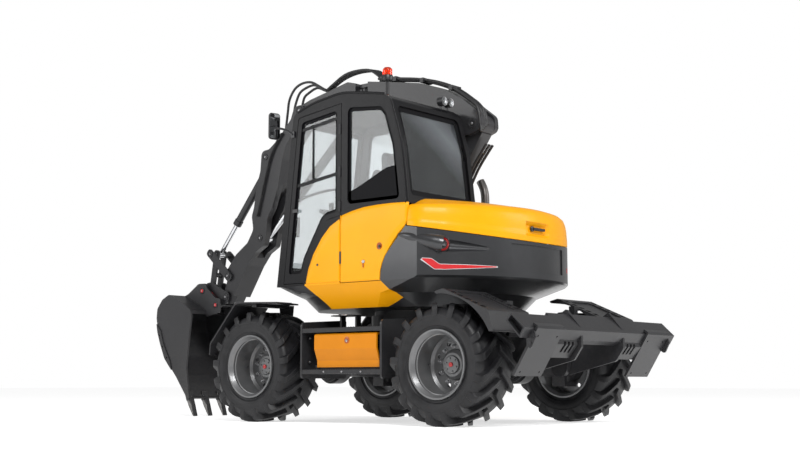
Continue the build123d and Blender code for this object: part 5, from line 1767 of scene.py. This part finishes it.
        head = layers(((0.012, 1.0, 1.0), (0.004, 1.04, 1.04), (-0.012, 1.0, 1.0),
                       (-0.026, 0.80, 0.80), (-0.030, 0.3, 0.3)))
        stops = ((0.655, 1.134, 2.720), (0.720, 1.150, 2.765), (0.790, 1.175, 2.790),
                 (0.862, 1.188, 2.800))
        head.join(tube([at(*stop) for stop in stops], 0.011, UP, 12))
        head.join(slab(0.636, 0.676, 1.108, 1.136, 2.690, 2.750))
        shell = piece("mirror_shell", head, LAMP_BLACK, "turret")
        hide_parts("mirror")
        glass = layers(((0.010, 0.92, 0.95), (0.0145, 0.92, 0.95)))
        piece("mirror_face", glass, MIRROR_GLASS, "turret")

    def build(self) -> None:
        """All the trim of the cab."""
        self.borders()
        self.film()
        self.door_parts()
        self.rails()
        self.lights()
        self.mirrors()


@dataclass(frozen=True)
class HoseRun:
    """Hydraulic hoses that lie side by side along one route, held at both ends.

    Args:
        name: Start of their names.
        body: The body they ride on.
        across: Distance of each from the arm's plane.
        stops: Places along the route: distance ahead, height, and for hoses with slack the shares
            of it that go ahead and up there.
        slack: How much further each hose reaches than the one before it.
        radius: Radius of a hose.
    """

    name: str
    body: str
    across: tuple[float, ...]
    stops: Rows
    slack: float = 0.0
    radius: float = 0.0135

    def lay(self, number: int, line: Array) -> None:
        """Makes one hose from its line.

        Args:
            number: Which hose of the run it is.
            line: Rows of distance ahead and height.
        """
        stops = [at(x, ARM_Y + self.across[number], z) for x, z in line]
        run = tube(stops, self.radius, LEFT, samples=7)
        piece(f"{self.name}_{number}", run, HOSE, self.body)

    def build(self) -> None:
        """Every hose of the run."""
        table = np.zeros((len(self.stops), 4))
        table[:, : len(self.stops[0])] = self.stops
        for i in range(len(self.across)):
            self.lay(i, table[:, :2] + self.slack * i * table[:, 2:])


@dataclass(frozen=True)
class ArmHoses:
    """Hydraulic hoses along the arm, with their clamps and fittings.

    Args:
        boom: Hoses on the boom from the knee to the swing pin.
        runs: Arcs over the swing pin and the elbow, hoses down the dipper's back to the bucket
            cylinder, and hoses from the deck up the back of the lower boom.
    """

    boom: HoseRun = HoseRun(
        "boom_hose", "upper_boom", (0.028, 0.054, 0.080, 0.106, 0.132),
        ((-0.735, 2.830), (-0.690, 2.985), (-0.560, 3.105), (-0.380, 3.225), (-0.150, 3.322),
         (0.060, 3.375), (0.330, 3.420), (0.560, 3.452)),
    )
    runs: tuple[HoseRun, ...] = (
        HoseRun("swing_hose", "offset_link", (0.110, 0.080, 0.050, 0.020), (
            (0.540, 3.462, 0, 0), (0.610, 3.520, -1 / 3, 0), (0.700, 3.574, -1 / 3, 0),
            (0.830, 3.594, 0, 0), (0.980, 3.590, 0, 0), (1.090, 3.560, 1 / 3, 0),
            (1.200, 3.505, 1 / 2, 0), (1.300, 3.452, 1 / 2, 0)), 0.035, 0.01296),
        HoseRun("elbow_hose", "dipper", (0.085, 0.035, -0.015), (
            (1.330, 3.452, 0, 0), (1.440, 3.520, 0, -1 / 3), (1.560, 3.580, 0, -1 / 2),
            (1.690, 3.585, 0, -1), (1.800, 3.540, -1 / 2, -1), (1.880, 3.430, -1, -1),
            (1.905, 3.290, -1, 0), (1.930, 3.120, -1 / 2, 0)), 0.045),
        HoseRun("dipper_hose", "dipper", (0.132, 0.150, -0.132), (
            (1.930, 3.060), (2.040, 2.930), (2.120, 2.780), (2.190, 2.560), (2.240, 2.380),
            (2.300, 2.180)), radius=0.0108),
        HoseRun("foot_hose", "lower_boom", (-0.05, 0.0, 0.05), (
            (-0.040, 1.480), (-0.110, 1.640), (-0.250, 1.900), (-0.420, 2.180), (-0.560, 2.420),
            (-0.668, 2.560), (-0.735, 2.640))),
    )

    def boom_run(self) -> None:
        """Hoses on the boom: a sine of the hose's number lifts each a little, all but its end."""
        line = np.asarray(self.boom.stops)
        for i in range(len(self.boom.across)):
            lift = np.full(len(line), 0.012 * math.sin(1.7 * i))
            lift[0] = -0.02 * i
            self.boom.lay(i, np.column_stack([line[:, 0], line[:, 1] + lift]))

    def clamps(self) -> None:
        """Clamp plates over the hoses on the boom and fittings at the ends."""
        shell, low, high = Shell(), ARM_Y + 0.005, ARM_Y + 0.155
        for x, z in ((-0.380, 3.225), (-0.020, 3.352), (0.330, 3.420)):
            shell.join(slab(x - 0.022, x + 0.022, low, high, z - 0.022, z + 0.026))
        piece("boom_clamps", shell, DARK_PAINT, "upper_boom", Edge.FINE)
        feet = [at(0.535, ARM_Y + y, 3.458) for y in self.runs[0].across]
        nuts = repeated(((((-0.02, 0.019), (0.02, 0.019)), 6),), feet, (1.0, 0.0, 0.45))
        piece("swing_fittings", nuts, ZINC, "upper_boom")

    def build(self) -> None:
        """Every hose of the arm."""
        self.boom_run()
        for run in self.runs:
            run.build()
        self.clamps()


@dataclass(frozen=True)
class ArmPins:
    """Pin heads with their bolts on the near and far sides of the arm.

    Args:
        pins: Name, x from the slewing axis, height, half of the pin's length, radius of its head
            and body.
    """

    pins: tuple[tuple[str, float, float, float, float, str], ...] = (
        ("foot", 0.270, 1.350, 0.112, 0.050, "turret"),
        ("knee", -0.630, 2.840, 0.140, 0.052, "upper_boom"),
        ("elbow", 1.690, 3.280, 0.125, 0.050, "dipper"),
        ("dipper_base", 1.020, 3.100, 0.095, 0.036, "offset_link"),
        ("dipper_lug", 2.270, 1.940, 0.125, 0.036, "dipper"),
        ("bucket_base", 2.200, 2.830, 0.125, 0.036, "dipper"),
        ("rocker", 2.750, 1.550, 0.155, 0.040, "bucket_rocker"),
        ("shared", 3.040, 1.810, 0.155, 0.040, "bucket_rocker"),
        ("tip", 2.840, 1.320, 0.096, 0.040, "bucket"),
        ("grip_high", 3.165, 1.400, 0.152, 0.036, "bucket"),
        ("grip_low", 2.940, 1.232, 0.152, 0.036, "bucket"),
    )

    def build(self) -> None:
        """A stepped head and a bolt on both sides of every pin."""
        for name, x, z, half, radius, body in self.pins:
            shell, bolts = Shell(), Shell()
            rows = ((-0.004, radius), (0.006, radius), (0.008, radius * 0.92),
                    (0.008, radius * 0.62), (0.005, radius * 0.58), (0.005, 0.0))
            for side in (-1, 1):
                out, face = (0.0, float(side), 0.0), ARM_Y + side * half
                shell.join(turned(rows, at(x, face, z), out, 32))
                bolts.join(bolt(at(x, face + side * 0.005, z), out, radius * 0.42, 0.008))
            piece("pin_" + name, shell, DARK_PAINT, body, Edge.FINE)
            piece("pin_bolt_" + name, bolts, ZINC, body)


@dataclass(frozen=True)
class BucketTrim:
    """Tooth adaptors, tooth tips and the coupler's red parts.

    Args:
        teeth: Distance of each tooth from the bucket's middle plane.
        adaptor: Side outline of a tooth's adaptor, and half of its width.
        tip: Side outline of a tooth's tip, and half of its width.
        lever: Side outline of the coupler's lever.
        dots: Place and radius of the coupler's round tell-tales.
    """

    teeth: tuple[float, ...] = (-0.330, -0.110, 0.110, 0.330)
    adaptor: tuple[Rows, float] = (
        ((3.142, 0.285), (3.186, 0.262), (3.150, 0.168), (3.104, 0.182)), 0.041)
    tip: tuple[Rows, float] = (
        ((3.136, 0.200), (3.160, 0.190), (3.122, 0.112), (3.046, 0.0035), (3.036, 0.008),
         (3.076, 0.124)), 0.0305)
    lever: Rows = ((2.975, 1.300), (3.010, 1.285), (3.085, 1.360), (3.060, 1.385))
    dots: Rows = ((3.165, 1.400, 0.020), (2.940, 1.232, 0.018))

    def build(self) -> None:
        """Adaptors and tips of each tooth, and the coupler's red lever and tell-tales."""
        for name, (rows, half), finish, edge in (
            ("tooth_adaptors", self.adaptor, BUCKET_PAINT, Edge.ROUND),
            ("tooth_tips", self.tip, WORN_STEEL, Edge.FINE),
        ):
            shell = Shell()
            for tooth in self.teeth:
                y = ARM_Y + tooth
                shell.join(plate(rows, Facing.SIDE, y - half, y + half))
            piece(name, shell, finish, "bucket", edge)
        lever = plate(self.lever, Facing.SIDE, ARM_Y + 0.098, ARM_Y + 0.112)
        for x, z, radius in self.dots:
            rows = ((-0.004, radius), (0.010, radius))
            lever.join(turned(rows, at(x, ARM_Y + 0.152, z), LEFT))
        piece("coupler_lever", lever, RED_PAINT, "bucket", Edge.FINE)


def main() -> None:
    """Builds the scene in order."""
    logging.basicConfig(level=logging.INFO, format="%(message)s")
    studio = Studio()
    studio.camera()
    studio.light()
    studio.floor()
    SolidFinishes().dress()
    for wheel in Wheel:
        Tyre().build(wheel)
        RimTrim().build(wheel)
    for side in (1, -1):
        ToolBox(side).build()
    WeightTrim().build()
    PanelTrim().build()
    CabTrim().build()
    ArmHoses().build()
    ArmPins().build()
    BucketTrim().build()


if __name__ == "__main__":
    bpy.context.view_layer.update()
    main()
